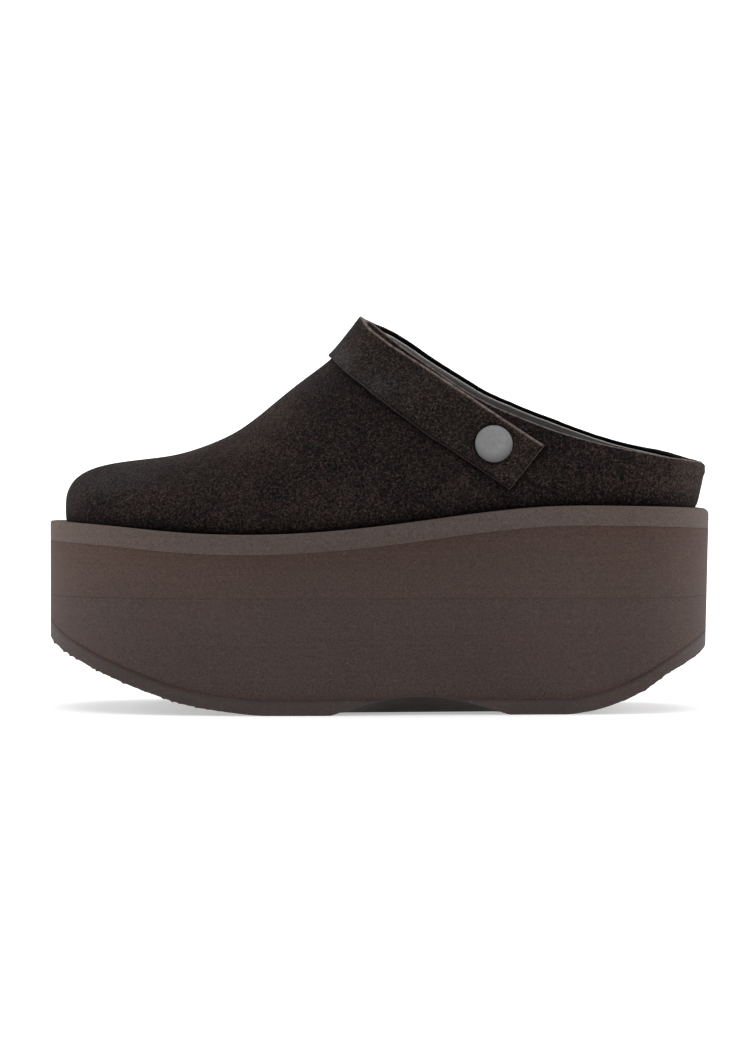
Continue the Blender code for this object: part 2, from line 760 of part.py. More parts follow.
def main():
    for obj in list(bpy.data.objects):
        bpy.data.objects.remove(obj, do_unlink=True)
    build_platform()
    build_insole()
    build_upper()
    build_strap()
    build_studs()
    # put the middle of the shoe's box over the origin
    outline = plan_loop(0.0, SIDE_STEPS)
    centre_y = 0.5 * (outline[:, 1].min() + outline[:, 1].max())
    for obj in bpy.data.objects:
        obj.location.y = -centre_y * MM


main()
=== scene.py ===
"""Looks of the left platform clog: suede, lining, strap, studs, foam platform and rubber sheet.

Toe towards -X, lateral side -Y, up +Z.  Sizes in this file are millimetres
until a mesh is made.
"""
import math

import bmesh
import bpy
import numpy as np
from mathutils import Matrix, Vector


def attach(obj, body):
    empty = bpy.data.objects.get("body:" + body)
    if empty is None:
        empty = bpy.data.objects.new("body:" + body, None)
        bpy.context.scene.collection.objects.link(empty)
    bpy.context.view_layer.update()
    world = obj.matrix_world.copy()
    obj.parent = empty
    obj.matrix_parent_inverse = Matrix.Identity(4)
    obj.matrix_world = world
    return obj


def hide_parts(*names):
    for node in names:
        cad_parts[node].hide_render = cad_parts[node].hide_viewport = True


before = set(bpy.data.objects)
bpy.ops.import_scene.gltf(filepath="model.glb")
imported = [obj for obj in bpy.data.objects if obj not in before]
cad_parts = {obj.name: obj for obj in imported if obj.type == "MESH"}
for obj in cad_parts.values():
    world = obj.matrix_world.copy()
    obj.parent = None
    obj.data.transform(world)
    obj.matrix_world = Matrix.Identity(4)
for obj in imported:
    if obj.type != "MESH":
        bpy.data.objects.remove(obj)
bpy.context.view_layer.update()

MM = 0.001

# ---------------------------------------------------------------- main sizes
SOLE_TOE_X = -135.0
SOLE_HEEL_X = 135.0
UPPER_TOE_X = -128.7
UPPER_HEEL_X = 129.9
LEDGE = 6.6
THROAT_X = -4.0
WALL = 2.3
SUEDE = 1.4
TOP_SHEET = 8.0
GLUE_LINE_Z = 46.5
OUTSOLE = 6.0
TOE_ROUND = 54.0
HEEL_ROUND = 40.0
SCOOP_RISE = 7.8
SCOOP_DEPTH = 19.0
SCOOP_X = 16.5
SCOOP_HALF = 36.0
STRAP = 1.75
STRAP_GAP = 0.14
STRAP_LIFT = 2.0
STUD_X = 45.9
STUD_Z = 107.7
STUD_DIAMETER = 15.0


def table(columns, *rows):
    names = columns.split()
    return {name: np.array([row[i] for row in rows], float)
            for i, name in enumerate(names)}


SOLE_PLAN = table("x centre_y half_width",
                  (-135, 9.0, 48.0),
                  (-105, 6.0, 48.8),
                  (-65, 1.5, 49.5),
                  (-25, -2.5, 46.5),
                  (15, -3.8, 41.4),
                  (50, -2.8, 39.0),
                  (90, -1.0, 38.9),
                  (135, -0.5, 38.6))
SOLE_TOP = table("x z",
                 (-135, 76.6),
                 (-110, 75.3),
                 (-80, 72.7),
                 (-52, 71.8),
                 (-20, 73.2),
                 (10, 76.4),
                 (40, 80.4),
                 (68, 83.0),
                 (100, 83.2),
                 (118, 82.7),
                 (135, 81.7))
TREAD = table("x z",
              (-135.0, 29.4),
              (-131.0, 26.4),
              (-120.0, 20.5),
              (-106.0, 14.3),
              (-90.0, 8.3),
              (-76.0, 4.1),
              (-60.0, 1.4),
              (-44.0, 0.0),
              (74.0, 0.0),
              (84.0, 1.2),
              (96.0, 4.7),
              (106.0, 9.3),
              (115.0, 15.3),
              (124.0, 19.9),
              (132.0, 24.2),
              (135.0, 26.4))
ROCKER = table("x z",
               (-135.0, 29.4),
               (-131.0, 26.4),
               (-120.0, 20.5),
               (-106.0, 14.3),
               (-90.0, 8.3),
               (-76.0, 4.1),
               (-60.0, 1.4),
               (-44.0, 0.0),
               (74.0, 0.0),
               (84.0, 1.2),
               (96.0, 4.9),
               (108.0, 10.5),
               (120.0, 17.2),
               (135.0, 25.9))
RIDGE = table("x z",
              (-128.7, 84.0),
              (-127.0, 90.4),
              (-122.5, 95.4),
              (-116.0, 98.5),
              (-106.0, 100.7),
              (-94.0, 102.1),
              (-82.0, 103.9),
              (-69.0, 108.1),
              (-57.0, 114.0),
              (-45.0, 123.0),
              (-32.0, 133.4),
              (-19.6, 143.0),
              (-4.0, 158.2),
              (12.0, 171.0),
              (34.0, 186.0),
              (70.0, 195.0),
              (129.9, 196.0))
SECTION = table("x across up lean",
                (-128, 2.30, 2.30, 0.00),
                (-100, 2.40, 2.15, 0.10),
                (-70, 2.30, 1.90, 0.15),
                (-40, 2.10, 1.65, 0.15),
                (-5, 2.00, 1.55, 0.12),
                (35, 2.00, 1.50, 0.06),
                (130, 2.20, 1.60, 0.00))
COLLAR = table("x lateral_z medial_z",
               (-4.0, 158.2, 158.2),
               (6.0, 149.6, 154.2),
               (17.0, 141.6, 147.1),
               (30.0, 132.4, 138.7),
               (46.0, 123.2, 129.3),
               (60.0, 117.2, 123.2),
               (74.0, 112.2, 117.7),
               (90.0, 107.8, 112.0),
               (106.0, 104.4, 107.4),
               (120.0, 102.0, 104.2),
               (129.9, 100.6, 100.6))
SWELL = table("x belly flare",
              (-128, 0.0, 0.0),
              (-90, 0.9, 0.0),
              (-30, 1.3, 0.0),
              (30, 1.3, 0.0),
              (80, 0.8, 0.6),
              (105, 0.3, 2.2),
              (129, 0.0, 4.0))
STRAP_EDGES = table("ridge_x ridge_z end_x end_z",
                    (-18.5, 143.1, 52.2, 90.3),
                    (-4.9, 157.1, 65.7, 107.0))
# How far each edge hangs below the straight line from its end to the ridge.
STRAP_SAG = table("share low high far_high",
                  (0.00, 0.0, 0.0, 0.0),
                  (0.12, 0.4, 0.5, 0.0),
                  (0.28, 1.2, 0.9, -0.4),
                  (0.50, 2.2, 1.6, -1.0),
                  (0.70, 2.1, 2.3, -1.5),
                  (0.84, 1.6, 2.8, -1.7),
                  (0.91, 1.3, 2.6, -1.5),
                  (0.96, 0.8, 1.7, -0.9),
                  (1.00, 0.0, 0.0, 0.0),
                  (1.30, 0.0, 0.0, 0.0))

# Soft troughs and swells of the suede, placed on the shoe.  Each row
# runs from (x, z) to (x, z) seen from the side, on the side of its sign, with
# its half width and its depth, inwards below zero.
CREASES = table("x_a z_a x_b z_b side half_width depth",
                (-44, 80, -26, 77, -1, 2.6, -0.30),
                (-47, 84, -24, 81, -1, 3.4, 0.16),
                (-86, 97, -62, 84, -1, 7.0, -0.28),
                (-70, 103, -44, 88, -1, 7.5, 0.22),
                (-58, 109, -30, 91, -1, 8.0, -0.22),
                (-34, 123, -8, 103, -1, 8.0, 0.26),
                (-22, 132, 8, 104, -1, 7.0, -0.26),
                (40, 97, 62, 87, -1, 5.0, -0.30),
                (68, 104, 78, 88, -1, 5.5, 0.22),
                (84, 102, 92, 87, -1, 6.0, -0.24),
                (100, 100, 110, 87, -1, 5.0, 0.20),
                (114, 99, 118, 88, -1, 5.0, -0.22),
                (-84, 96, -60, 84, 1, 7.0, -0.26),
                (-66, 104, -40, 88, 1, 7.5, 0.22),
                (-42, 116, -16, 96, 1, 8.0, -0.26),
                (-24, 130, 6, 106, 1, 7.0, 0.22),
                (44, 100, 64, 88, 1, 5.0, -0.28),
                (72, 108, 84, 88, 1, 6.0, 0.22),
                (92, 104, 102, 87, 1, 6.0, -0.24))


# Small nubs of flash left along the trimmed lower edge of the rubber.
NUBS = table("x size half_width",
             (-132.2, 0.55, 0.40),
             (-128.8, 0.30, 0.45),
             (-127.4, 0.70, 0.40),
             (-124.6, 0.75, 0.45),
             (-121.9, 0.35, 0.50),
             (-114.9, 0.40, 0.45),
             (-113.1, 0.55, 0.45),
             (-110.4, 0.30, 0.60),
             (-106.8, 0.22, 0.50),
             (-102.1, 0.40, 0.55),
             (-93.0, 0.18, 0.50),
             (-85.7, 0.35, 0.50),
             (-82.2, 0.40, 0.50),
             (-79.3, 0.35, 0.50),
             (-72.6, 0.30, 0.55),
             (106.5, 0.22, 0.60),
             (113.0, 0.30, 0.55),
             (127.9, 0.25, 0.50),
             (129.8, 0.40, 0.45),
             (131.6, 0.30, 0.40))


# -------------------------------------------------------------- mathematics
def spline(xs, ys):
    xs, ys = np.asarray(xs, float), np.asarray(ys, float)
    n = len(xs)
    step = np.diff(xs)
    slope = np.diff(ys) / step
    grid = np.zeros((n, n))
    want = np.zeros(n)
    grid[0, 0] = grid[-1, -1] = 1.0
    for i in range(1, n - 1):
        grid[i, i - 1], grid[i, i], grid[i, i + 1] = step[i - 1], 2 * (step[i - 1] + step[i]), step[i]
        want[i] = 6 * (slope[i] - slope[i - 1])
    bend = np.linalg.solve(grid, want)

    def curve(x):
        x = np.clip(np.asarray(x, float), xs[0], xs[-1])
        i = np.clip(np.searchsorted(xs, x) - 1, 0, n - 2)
        a, b = xs[i + 1] - x, x - xs[i]
        return ((bend[i] * a ** 3 + bend[i + 1] * b ** 3) / (6 * step[i])
                + (ys[i] / step[i] - bend[i] * step[i] / 6) * a
                + (ys[i + 1] / step[i] - bend[i + 1] * step[i] / 6) * b)
    return curve


def steady(xs, ys):
    xs, ys = np.asarray(xs, float), np.asarray(ys, float)
    step = np.diff(xs)
    slope = np.diff(ys) / step
    lean = np.zeros(len(xs))
    for i in range(1, len(xs) - 1):
        if slope[i - 1] * slope[i] > 0:
            wa, wb = 2 * step[i] + step[i - 1], step[i] + 2 * step[i - 1]
            lean[i] = (wa + wb) / (wa / slope[i - 1] + wb / slope[i])
    lean[0], lean[-1] = slope[0], slope[-1]

    def curve(x):
        x = np.clip(np.asarray(x, float), xs[0], xs[-1])
        i = np.clip(np.searchsorted(xs, x) - 1, 0, len(xs) - 2)
        t = (x - xs[i]) / step[i]
        return ((1 + 2 * t) * (1 - t) ** 2 * ys[i] + t * (1 - t) ** 2 * step[i] * lean[i]
                + t * t * (3 - 2 * t) * ys[i + 1] - t * t * (1 - t) * step[i] * lean[i + 1])
    return curve


def smooth_step(low, high, x):
    t = np.clip((np.asarray(x, float) - low) / (high - low), 0, 1)
    return t * t * (3 - 2 * t)


def lattice(ix, iy, iz, seed):
    """Repeatable pseudo-random value from -1 to 1 at whole-number points."""
    n = (ix * 374761393 + iy * 668265263 + iz * 2147483647 + seed * 1274126177) & 0xFFFFFFFF
    n = ((n ^ (n >> 13)) * 1274126177) & 0xFFFFFFFF
    n = n ^ (n >> 16)
    return (n & 0xFFFF) / 32767.5 - 1.0


def noise3(x, y, z, seed=0):
    """Smooth noise in space, about -1 to 1."""
    x, y, z = np.broadcast_arrays(*(np.asarray(v, float) for v in (x, y, z)))
    x0, y0, z0 = np.floor(x), np.floor(y), np.floor(z)
    fx, fy, fz = x - x0, y - y0, z - z0
    fx, fy, fz = (f * f * (3 - 2 * f) for f in (fx, fy, fz))
    ix, iy, iz = x0.astype(np.int64), y0.astype(np.int64), z0.astype(np.int64)
    out = 0.0
    for dx in (0, 1):
        for dy in (0, 1):
            for dz in (0, 1):
                w = (fx if dx else 1 - fx) * (fy if dy else 1 - fy) * (fz if dz else 1 - fz)
                out = out + w * lattice(ix + dx, iy + dy, iz + dz, seed)
    return out


sole_centre = spline(SOLE_PLAN["x"], SOLE_PLAN["centre_y"])
sole_half = spline(SOLE_PLAN["x"], SOLE_PLAN["half_width"])
sole_top = spline(SOLE_TOP["x"], SOLE_TOP["z"])
tread_z = steady(TREAD["x"], TREAD["z"])
rocker_z = steady(ROCKER["x"], ROCKER["z"])
section_across = spline(SECTION["x"], SECTION["across"])
section_up = spline(SECTION["x"], SECTION["up"])
section_lean = spline(SECTION["x"], SECTION["lean"])
collar_lateral = spline(COLLAR["x"], COLLAR["lateral_z"])
collar_medial = spline(COLLAR["x"], COLLAR["medial_z"])
belly = spline(SWELL["x"], SWELL["belly"])
flare = spline(SWELL["x"], SWELL["flare"])
sag_low = steady(STRAP_SAG["share"], STRAP_SAG["low"])
sag_high = steady(STRAP_SAG["share"], STRAP_SAG["high"])
sag_far = steady(STRAP_SAG["share"], STRAP_SAG["far_high"])
_ridge = spline(np.sqrt(RIDGE["x"] - UPPER_TOE_X), RIDGE["z"])


def ridge_z(x):
    return _ridge(np.sqrt(np.maximum(np.asarray(x, float) - UPPER_TOE_X, 0.0)))


def rounding(x, toe, heel, toe_round, heel_round):
    a = np.clip((x - toe) / toe_round, 0, 1)
    b = np.clip((heel - x) / heel_round, 0, 1)
    return np.sqrt(1 - (1 - a) ** 2.25) * np.sqrt(1 - (1 - b) ** 2.3)


def plan_loop(inset, steps, squeeze=0.0):
    toe, heel = SOLE_TOE_X + inset, SOLE_HEEL_X - inset
    toe, heel = toe + 34.0 * squeeze, heel - 24.0 * squeeze
    turn = math.pi * np.arange(steps + 1) / steps
    x = 0.5 * (toe + heel) - 0.5 * (heel - toe) * np.cos(turn)
    half = (sole_half(x) - inset) * rounding(x, toe, heel, TOE_ROUND - 0.4 * inset,
                                             HEEL_ROUND - 0.4 * inset)
    half = half * (1.0 - squeeze)
    mid = sole_centre(x)
    lateral = np.stack([x, mid - half], 1)
    medial = np.stack([x, mid + half], 1)
    return np.vstack([lateral, medial[-2:0:-1]])


_edge = plan_loop(0.0, 30)
SHIFT_Y = -0.5 * (_edge[:, 1].min() + _edge[:, 1].max())


def scoop(x, distance):
    along = np.clip(1 - ((x - SCOOP_X) / SCOOP_HALF) ** 2, 0, 1) ** 1.2
    across = np.clip(1 - distance / SCOOP_DEPTH, 0, 1) ** 1.15
    return SCOOP_RISE * along * across


def heel_tuck(x, z):
    return -1.3 * np.clip((x - 100.0) / 35.0, 0, 1) ** 2 * np.clip((82.0 - z) / 56.0, 0, 1)


def outsole_top(x):
    slope = rocker_z(x + 0.5) - rocker_z(x - 0.5)
    return rocker_z(x) + OUTSOLE * np.sqrt(1 + slope ** 2)


# ------------------------------------------------------- the upper's surface
SEAT_GAP = 0.08


def seat_z(x):
    return sole_top(x) + 0.3


def base_half(x):
    return (sole_half(x) - LEDGE) * rounding(x, UPPER_TOE_X, UPPER_HEEL_X,
                                             TOE_ROUND - 2.0, HEEL_ROUND - 2.5)


def widths(x):
    half = base_half(x)
    lean = section_lean(x)
    return sole_centre(x) + lean * half, half * (1 + lean), half * (1 - lean)


def shell_value(x, y, h):
    middle, lateral, medial = widths(x)
    side = np.where(y < middle, lateral, medial)
    out = (np.abs(y - middle) / np.maximum(side, 1e-6)) ** section_across(x)
    rise = np.maximum(h, 0.0) / (ridge_z(x) - seat_z(x))
    value = out + rise ** section_up(x) - 1
    beyond = (x < UPPER_TOE_X) | (x > UPPER_HEEL_X)
    return np.where(beyond, 1.0, value)


def shell_share(x, h):
    rise = np.clip(h / (ridge_z(x) - seat_z(x)), 0, 1)
    return np.clip(1 - rise ** section_up(x), 0, 1) ** (1 / section_across(x))


def swell(point):
    x, y, h = point[..., 0], point[..., 1], point[..., 2]
    middle, lateral, medial = widths(x)
    d = 0.02
    inner = np.clip(x, UPPER_TOE_X + 0.05, UPPER_HEEL_X - 0.05)
    side = np.sign(y - middle)

    def edge(u):
        m, a, b = widths(u)
        return np.where(side < 0, m - a, m + b)
    run = (edge(inner + d) - edge(inner - d)) / (2 * d)
    nx, ny = -side * run, side
    tip = np.abs(y - middle) < 1e-6
    nx = np.where(tip, np.sign(x), nx)
    ny = np.where(tip, 0.0, ny)
    length = np.hypot(nx, ny)
    nx, ny = nx / length, ny / length
    out = shell_share(x, h) ** 4
    amount = (belly(x) * (h / 11.0) * np.exp(1 - h / 11.0)
              + flare(x) * np.clip(h / 17.0, 0, 1) ** 0.85) * out
    moved = point.copy()
    moved[..., 0] += nx * amount
    moved[..., 1] += ny * amount
    return moved


def cast(origin, direction, reach=3.0):
    low = np.zeros(direction.shape[:-1])
    high = np.full(direction.shape[:-1], reach)
    for _ in range(40):
        mid = 0.5 * (low + high)
        p = origin + direction * mid[..., None]
        outside = shell_value(p[..., 0], p[..., 1], p[..., 2]) > 0
        high = np.where(outside, mid, high)
        low = np.where(outside, low, mid)
    return origin + direction * (0.5 * (low + high))[..., None]


def resample(path, shares):
    span = np.linalg.norm(np.diff(path, axis=1), axis=2)
    run = np.concatenate([np.zeros((len(path), 1)), np.cumsum(span, 1)], 1)
    out = np.empty((len(path), len(shares), path.shape[2]))
    for i in range(len(path)):
        for c in range(path.shape[2]):
            out[i, :, c] = np.interp(shares * run[i, -1], run[i], path[i, :, c])
    return out


def side_loops(steps, side):
    turn = math.pi * np.linspace(0, 1, 1600)
    u = 0.5 - 0.5 * np.cos(turn)
    x = UPPER_TOE_X + (UPPER_HEEL_X - UPPER_TOE_X) * u
    middle, lateral, medial = widths(x)
    y = middle - lateral if side < 0 else middle + medial
    seat = np.stack([x, y, np.zeros_like(x)], 1)
    x = THROAT_X + (UPPER_HEEL_X - THROAT_X) * u
    z = collar_lateral(x) if side < 0 else collar_medial(x)
    h = z - seat_z(x)
    share = shell_share(x, h)
    share[0] = 0.0
    middle, lateral, medial = widths(x)
    y = middle - lateral * share if side < 0 else middle + medial * share
    collar = np.stack([x, y, h], 1)
    shares = np.linspace(0, 1, steps + 1)
    return resample(seat[None], shares)[0], resample(collar[None], shares)[0]


def upper_grid(around, up, crowd=1.25):
    seat_a, collar_a = side_loops(around, -1)
    seat_b, collar_b = side_loops(around, 1)
    seat = np.vstack([seat_a, seat_b[-2:0:-1]])
    collar = np.vstack([collar_a, collar_b[-2:0:-1]])
    part = np.linspace(0, 1, around + 1)
    part = np.concatenate([part, part[-2:0:-1]])
    centre_x = -72.0 + 158.0 * part
    middle, _, _ = widths(centre_x)
    origin = np.stack([centre_x, middle, np.zeros_like(middle)], 1)[:, None, :]
    s = np.linspace(0, 1, 260)[None, :, None]
    direction = (seat[:, None, :] - origin) * (1 - s) + (collar[:, None, :] - origin) * s
    path = cast(origin, direction)
    path[:, 0] = seat
    path[:, -1] = collar
    path = swell(path)
    span = np.linalg.norm(np.diff(path, axis=1), axis=2)
    run = np.concatenate([np.zeros((len(path), 1)), np.cumsum(span, 1)], 1)
    grid = np.empty((len(path), up + 1, 3))
    for i in range(len(path)):
        end = run[i, -1]
        at = np.concatenate([np.linspace(0, 1, up - 1) ** crowd * (end - 0.9), [end - 0.42, end]])
        for c in range(3):
            grid[i, :, c] = np.interp(at, run[i], path[i, :, c])
    grid[..., 2] += seat_z(grid[..., 0])
    return grid


def grid_normals(grid, closed, centre):
    if closed:
        du = np.roll(grid, -1, 0) - np.roll(grid, 1, 0)
    else:
        du = np.gradient(grid, axis=0)
    dv = np.gradient(grid, axis=1)
    normal = np.cross(dv, du)
    normal = normal / np.maximum(np.linalg.norm(normal, axis=2), 1e-9)[..., None]
    if (normal * (grid - centre)).sum() < 0:
        normal = -normal
    return normal


def blur(grid, times, closed):
    """Evens out small steps in a field over the grid."""
    for _ in range(times):
        if closed:
            grid = 0.5 * grid + 0.25 * (np.roll(grid, 1, 0) + np.roll(grid, -1, 0))
        pad = np.concatenate([grid[:, :1], grid, grid[:, -1:]], 1)
        grid = 0.5 * grid + 0.25 * (pad[:, :-2] + pad[:, 2:])
    return grid


# -------------------------------------------------------------- mesh making
def make_piece(name, verts, faces, attributes=None, smooth=True):
    """Mesh in metres from millimetre points, shifted as the frame is."""
    verts = np.asarray(verts, float).copy()
    verts[:, 1] += SHIFT_Y
    mesh = bpy.data.meshes.new(name)
    mesh.from_pydata((verts * MM).tolist(), [], [tuple(f) for f in faces])
    mesh.validate()
    for key, values in (attributes or {}).items():
        layer = mesh.attributes.new(key, 'FLOAT', 'POINT')
        layer.data.foreach_set("value", np.asarray(values, np.float32))
    bm = bmesh.new()
    bm.from_mesh(mesh)
    bmesh.ops.recalc_face_normals(bm, faces=bm.faces)
    bm.to_mesh(mesh)
    bm.free()
    if smooth:
        mesh.shade_smooth()
    obj = bpy.data.objects.new(name, mesh)
    bpy.context.scene.collection.objects.link(obj)
    return obj


def loop_faces(rows, cols, closed_rows):
    """Quads over a grid whose columns close on themselves."""
    i = np.arange(rows if closed_rows else rows - 1)[:, None]
    j = np.arange(cols)[None, :]
    a = i * cols + j
    b = ((i + 1) % rows) * cols + j
    c = ((i + 1) % rows) * cols + (j + 1) % cols
    d = i * cols + (j + 1) % cols
    return np.stack([np.broadcast_to(v, (len(i), cols)) for v in (a, b, c, d)], -1).reshape(-1, 4)


def rim_points(edge, normal, up, thickness, round_up, count, flatness=0.55):
    """Half-round cut edge from the outer face over to the inner one."""
    out = []
    middle = edge - normal * (0.5 * thickness) - up * round_up
    for k in range(1, count):
        a = math.pi * k / count
        side = math.copysign(abs(math.cos(a)) ** flatness, math.cos(a))
        out.append(middle + normal * (0.5 * thickness * side) + up * (round_up * math.sin(a) ** flatness))
    return out


def sheet_wall(name, outer, normal, thickness, seat, round_up, attributes, rim_light, inside_shade=1.0):
    """Closed wall around the foot: outer face, collar edge, inner face, seat."""
    rows, cols = outer.shape[:2]
    up = outer[:, -1] - outer[:, -4]
    up /= np.linalg.norm(up, axis=1)[:, None]
    inner = outer - normal * thickness
    if seat is not None:
        outer[:, 0, 2] = seat(outer[:, 0, 0])
        inner[:, 0, 2] = seat(inner[:, 0, 0])
    edge = outer[:, -1].copy()
    rim = rim_points(edge, normal[:, -1], up, thickness, round_up, 7)
    outer = outer.copy()
    outer[:, -1] = edge - up * round_up
    inner[:, -1] = edge - normal[:, -1] * thickness - up * round_up
    ring = [outer[:, j] for j in range(cols)] + rim + [inner[:, j] for j in range(cols - 1, -1, -1)]
    grid = np.stack(ring, 1)
    total = grid.shape[1]
    # the cut edge is painted lighter: the raw edge's own colour with a painted highlight, scaled by rim_light
    cut = np.zeros((rows, total))
    cut[:, cols - 1:cols + len(rim)] = 1.0
    cut[:, cols + len(rim)] = 0.6
    cut *= rim_light[:, None]
    data = {"cut": cut.ravel()}
    for key, field in (attributes or {}).items():
        # painted shade: the inner face's tone is scaled down, dark inside the shoe
        inside = field[:, ::-1] * (inside_shade if key == "tone" else 1.0)
        wide = np.concatenate([field, np.repeat(field[:, -1:], len(rim), 1), inside], 1)
        data[key] = wide.ravel()
    return make_piece(name, grid.reshape(-1, 3), loop_faces(rows, total, True), data)


# ---------------------------------------------------------------- materials
def material(name):
    mat = bpy.data.materials.new(name)
    mat.use_nodes = True
    tree = mat.node_tree
    return mat, tree, tree.nodes["Principled BSDF"]


class Graph:
    """Small helper for wiring a material's nodes."""

    def __init__(self, tree):
        self.tree = tree
        self.coord = tree.nodes.new("ShaderNodeTexCoord").outputs["Object"]

    def link(self, a, b):
        self.tree.links.new(a, b)

    def scaled(self, sx, sy, sz, turn=(0.0, 0.0, 0.0)):
        n = self.tree.nodes.new("ShaderNodeMapping")
        n.inputs["Scale"].default_value = (sx, sy, sz)
        n.inputs["Rotation"].default_value = turn
        self.link(self.coord, n.inputs["Vector"])
        return n.outputs["Vector"]

    def shifted(self, by):
        n = self.tree.nodes.new("ShaderNodeMapping")
        n.inputs["Location"].default_value = (by, -by, 0.7 * by)
        self.link(self.coord, n.inputs["Vector"])
        return n.outputs["Vector"]

    def noise(self, scale, detail=2.0, rough=0.5, vector=None, distort=0.0):
        n = self.tree.nodes.new("ShaderNodeTexNoise")
        n.inputs["Scale"].default_value = scale
        n.inputs["Detail"].default_value = detail
        n.inputs["Roughness"].default_value = rough
        n.inputs["Distortion"].default_value = distort
        self.link(vector or self.coord, n.inputs["Vector"])
        return n.outputs["Fac"]

    def cells(self, scale, feature='F1', vector=None):
        n = self.tree.nodes.new("ShaderNodeTexVoronoi")
        n.feature = feature
        n.inputs["Scale"].default_value = scale
        self.link(vector or self.coord, n.inputs["Vector"])
        return n.outputs["Distance"]

    def span(self, value, low, high, to_low=0.0, to_high=1.0, smooth=False):
        n = self.tree.nodes.new("ShaderNodeMapRange")
        if smooth:
            n.interpolation_type = 'SMOOTHSTEP'
        n.inputs["From Min"].default_value = low
        n.inputs["From Max"].default_value = high
        n.inputs["To Min"].default_value = to_low
        n.inputs["To Max"].default_value = to_high
        self.link(value, n.inputs["Value"])
        return n.outputs["Result"]

    def field(self, name):
        n = self.tree.nodes.new("ShaderNodeAttribute")
        n.attribute_name = name
        return n.outputs["Fac"]

    def maths(self, kind, a, b):
        n = self.tree.nodes.new("ShaderNodeMath")
        n.operation = kind
        for socket, v in zip(n.inputs, (a, b)):
            if isinstance(v, (int, float)):
                socket.default_value = v
            else:
                self.link(v, socket)
        return n.outputs[0]

    def blend(self, fac, a, b, kind='MIX'):
        n = self.tree.nodes.new("ShaderNodeMix")
        n.data_type = 'RGBA'
        n.blend_type = kind
        for socket, v in ((n.inputs[0], fac), (n.inputs[6], a), (n.inputs[7], b)):
            if isinstance(v, (int, float)):
                socket.default_value = v
            elif isinstance(v, tuple):
                socket.default_value = (*v, 1.0)
            else:
                self.link(v, socket)
        return n.outputs[2]

    def grey(self, value):
        n = self.tree.nodes.new("ShaderNodeCombineColor")
        for i in range(3):
            self.link(value, n.inputs[i])
        return n.outputs[0]

    def bump(self, height, distance, strength=1.0, normal=None):
        n = self.tree.nodes.new("ShaderNodeBump")
        n.inputs["Distance"].default_value = distance
        n.inputs["Strength"].default_value = strength
        self.link(height, n.inputs["Height"])
        if normal is not None:
            self.link(normal, n.inputs["Normal"])
        return n.outputs["Normal"]


def suede_material(name, dark, mid, light, raw_edge_lit_colour):
    """Brown suede: short nap with stray light fibres, burnished patches."""
    mat, tree, shader = material(name)
    g = Graph(tree)
    fibre = g.noise(1150.0, 2.0, 0.75)
    fine = g.noise(2300.0, 2.0, 0.65)
    hue = g.noise(900.0, 2.0, 0.65, g.shifted(3.1))
    drift = g.noise(330.0, 3.0, 0.6)
    cloud = g.noise(26.0, 4.0, 0.6, distort=0.6)
    patch = g.noise(95.0, 4.0, 0.7)
    base = g.blend(g.span(cloud, 0.36, 0.66, 0.0, 1.0, True), dark, mid)
    base = g.blend(g.span(patch, 0.48, 0.74, 0.0, 0.16, True), base, light)
    base = g.blend(g.maths('MULTIPLY', g.field("worn"), g.span(drift, 0.3, 0.6, 0.45, 1.0, True)),
                   base, tuple(c * k for c, k in zip(light, (0.72, 0.68, 0.66))))
    base = g.blend(g.span(fibre, 0.51, 0.66, 0.0, 0.66, True), base, light)
    base = g.blend(g.span(hue, 0.57, 0.70, 0.0, 0.55, True), base, tuple(c * k for c, k in zip(light, (1.10, 0.74, 0.56))))
    base = g.blend(g.span(fibre, 0.48, 0.36, 0.0, 0.88, True), base, (0.0018, 0.0017, 0.0025))
    shade = g.maths('MULTIPLY', g.span(drift, 0.3, 0.7, 0.84, 1.16), g.field("tone"))
    shade = g.maths('MULTIPLY', shade, g.span(fine, 0.3, 0.7, 0.62, 1.38))
    base = g.blend(1.0, base, g.grey(shade), 'MULTIPLY')
    # painted sheen: a light grey mixed into the colour where the sheen field is set
    base = g.blend(g.maths('MULTIPLY', g.field("painted_sheen"), g.span(fine, 0.40, 0.62, 0.10, 1.0, True)),
                   base, (0.072, 0.070, 0.072))
    # raw cut edge: its own lighter colour with a painted highlight
    cut = g.maths('MULTIPLY', g.field("cut"), g.span(g.noise(520.0, 3.0, 0.7), 0.36, 0.60, 0.45, 1.0, True))
    base = g.blend(cut, base, raw_edge_lit_colour)
    g.link(base, shader.inputs["Base Color"])
    shader.inputs["Roughness"].default_value = 0.97
    shader.inputs["Specular IOR Level"].default_value = 0.04
    shader.inputs["Sheen Weight"].default_value = 0.035
    shader.inputs["Sheen Roughness"].default_value = 0.5
    shader.inputs["Sheen Tint"].default_value = (0.60, 0.52, 0.48, 1.0)
    nap = g.maths('ADD', g.maths('MULTIPLY', fibre, 0.6), g.maths('MULTIPLY', fine, 0.4))
    n = g.bump(g.noise(150.0, 4.0, 0.65), 0.0005, 0.5)
    n = g.bump(drift, 0.0004, 0.6, n)
    n = g.bump(nap, 0.0007, 0.9, n)
    g.link(n, shader.inputs["Normal"])
    return mat


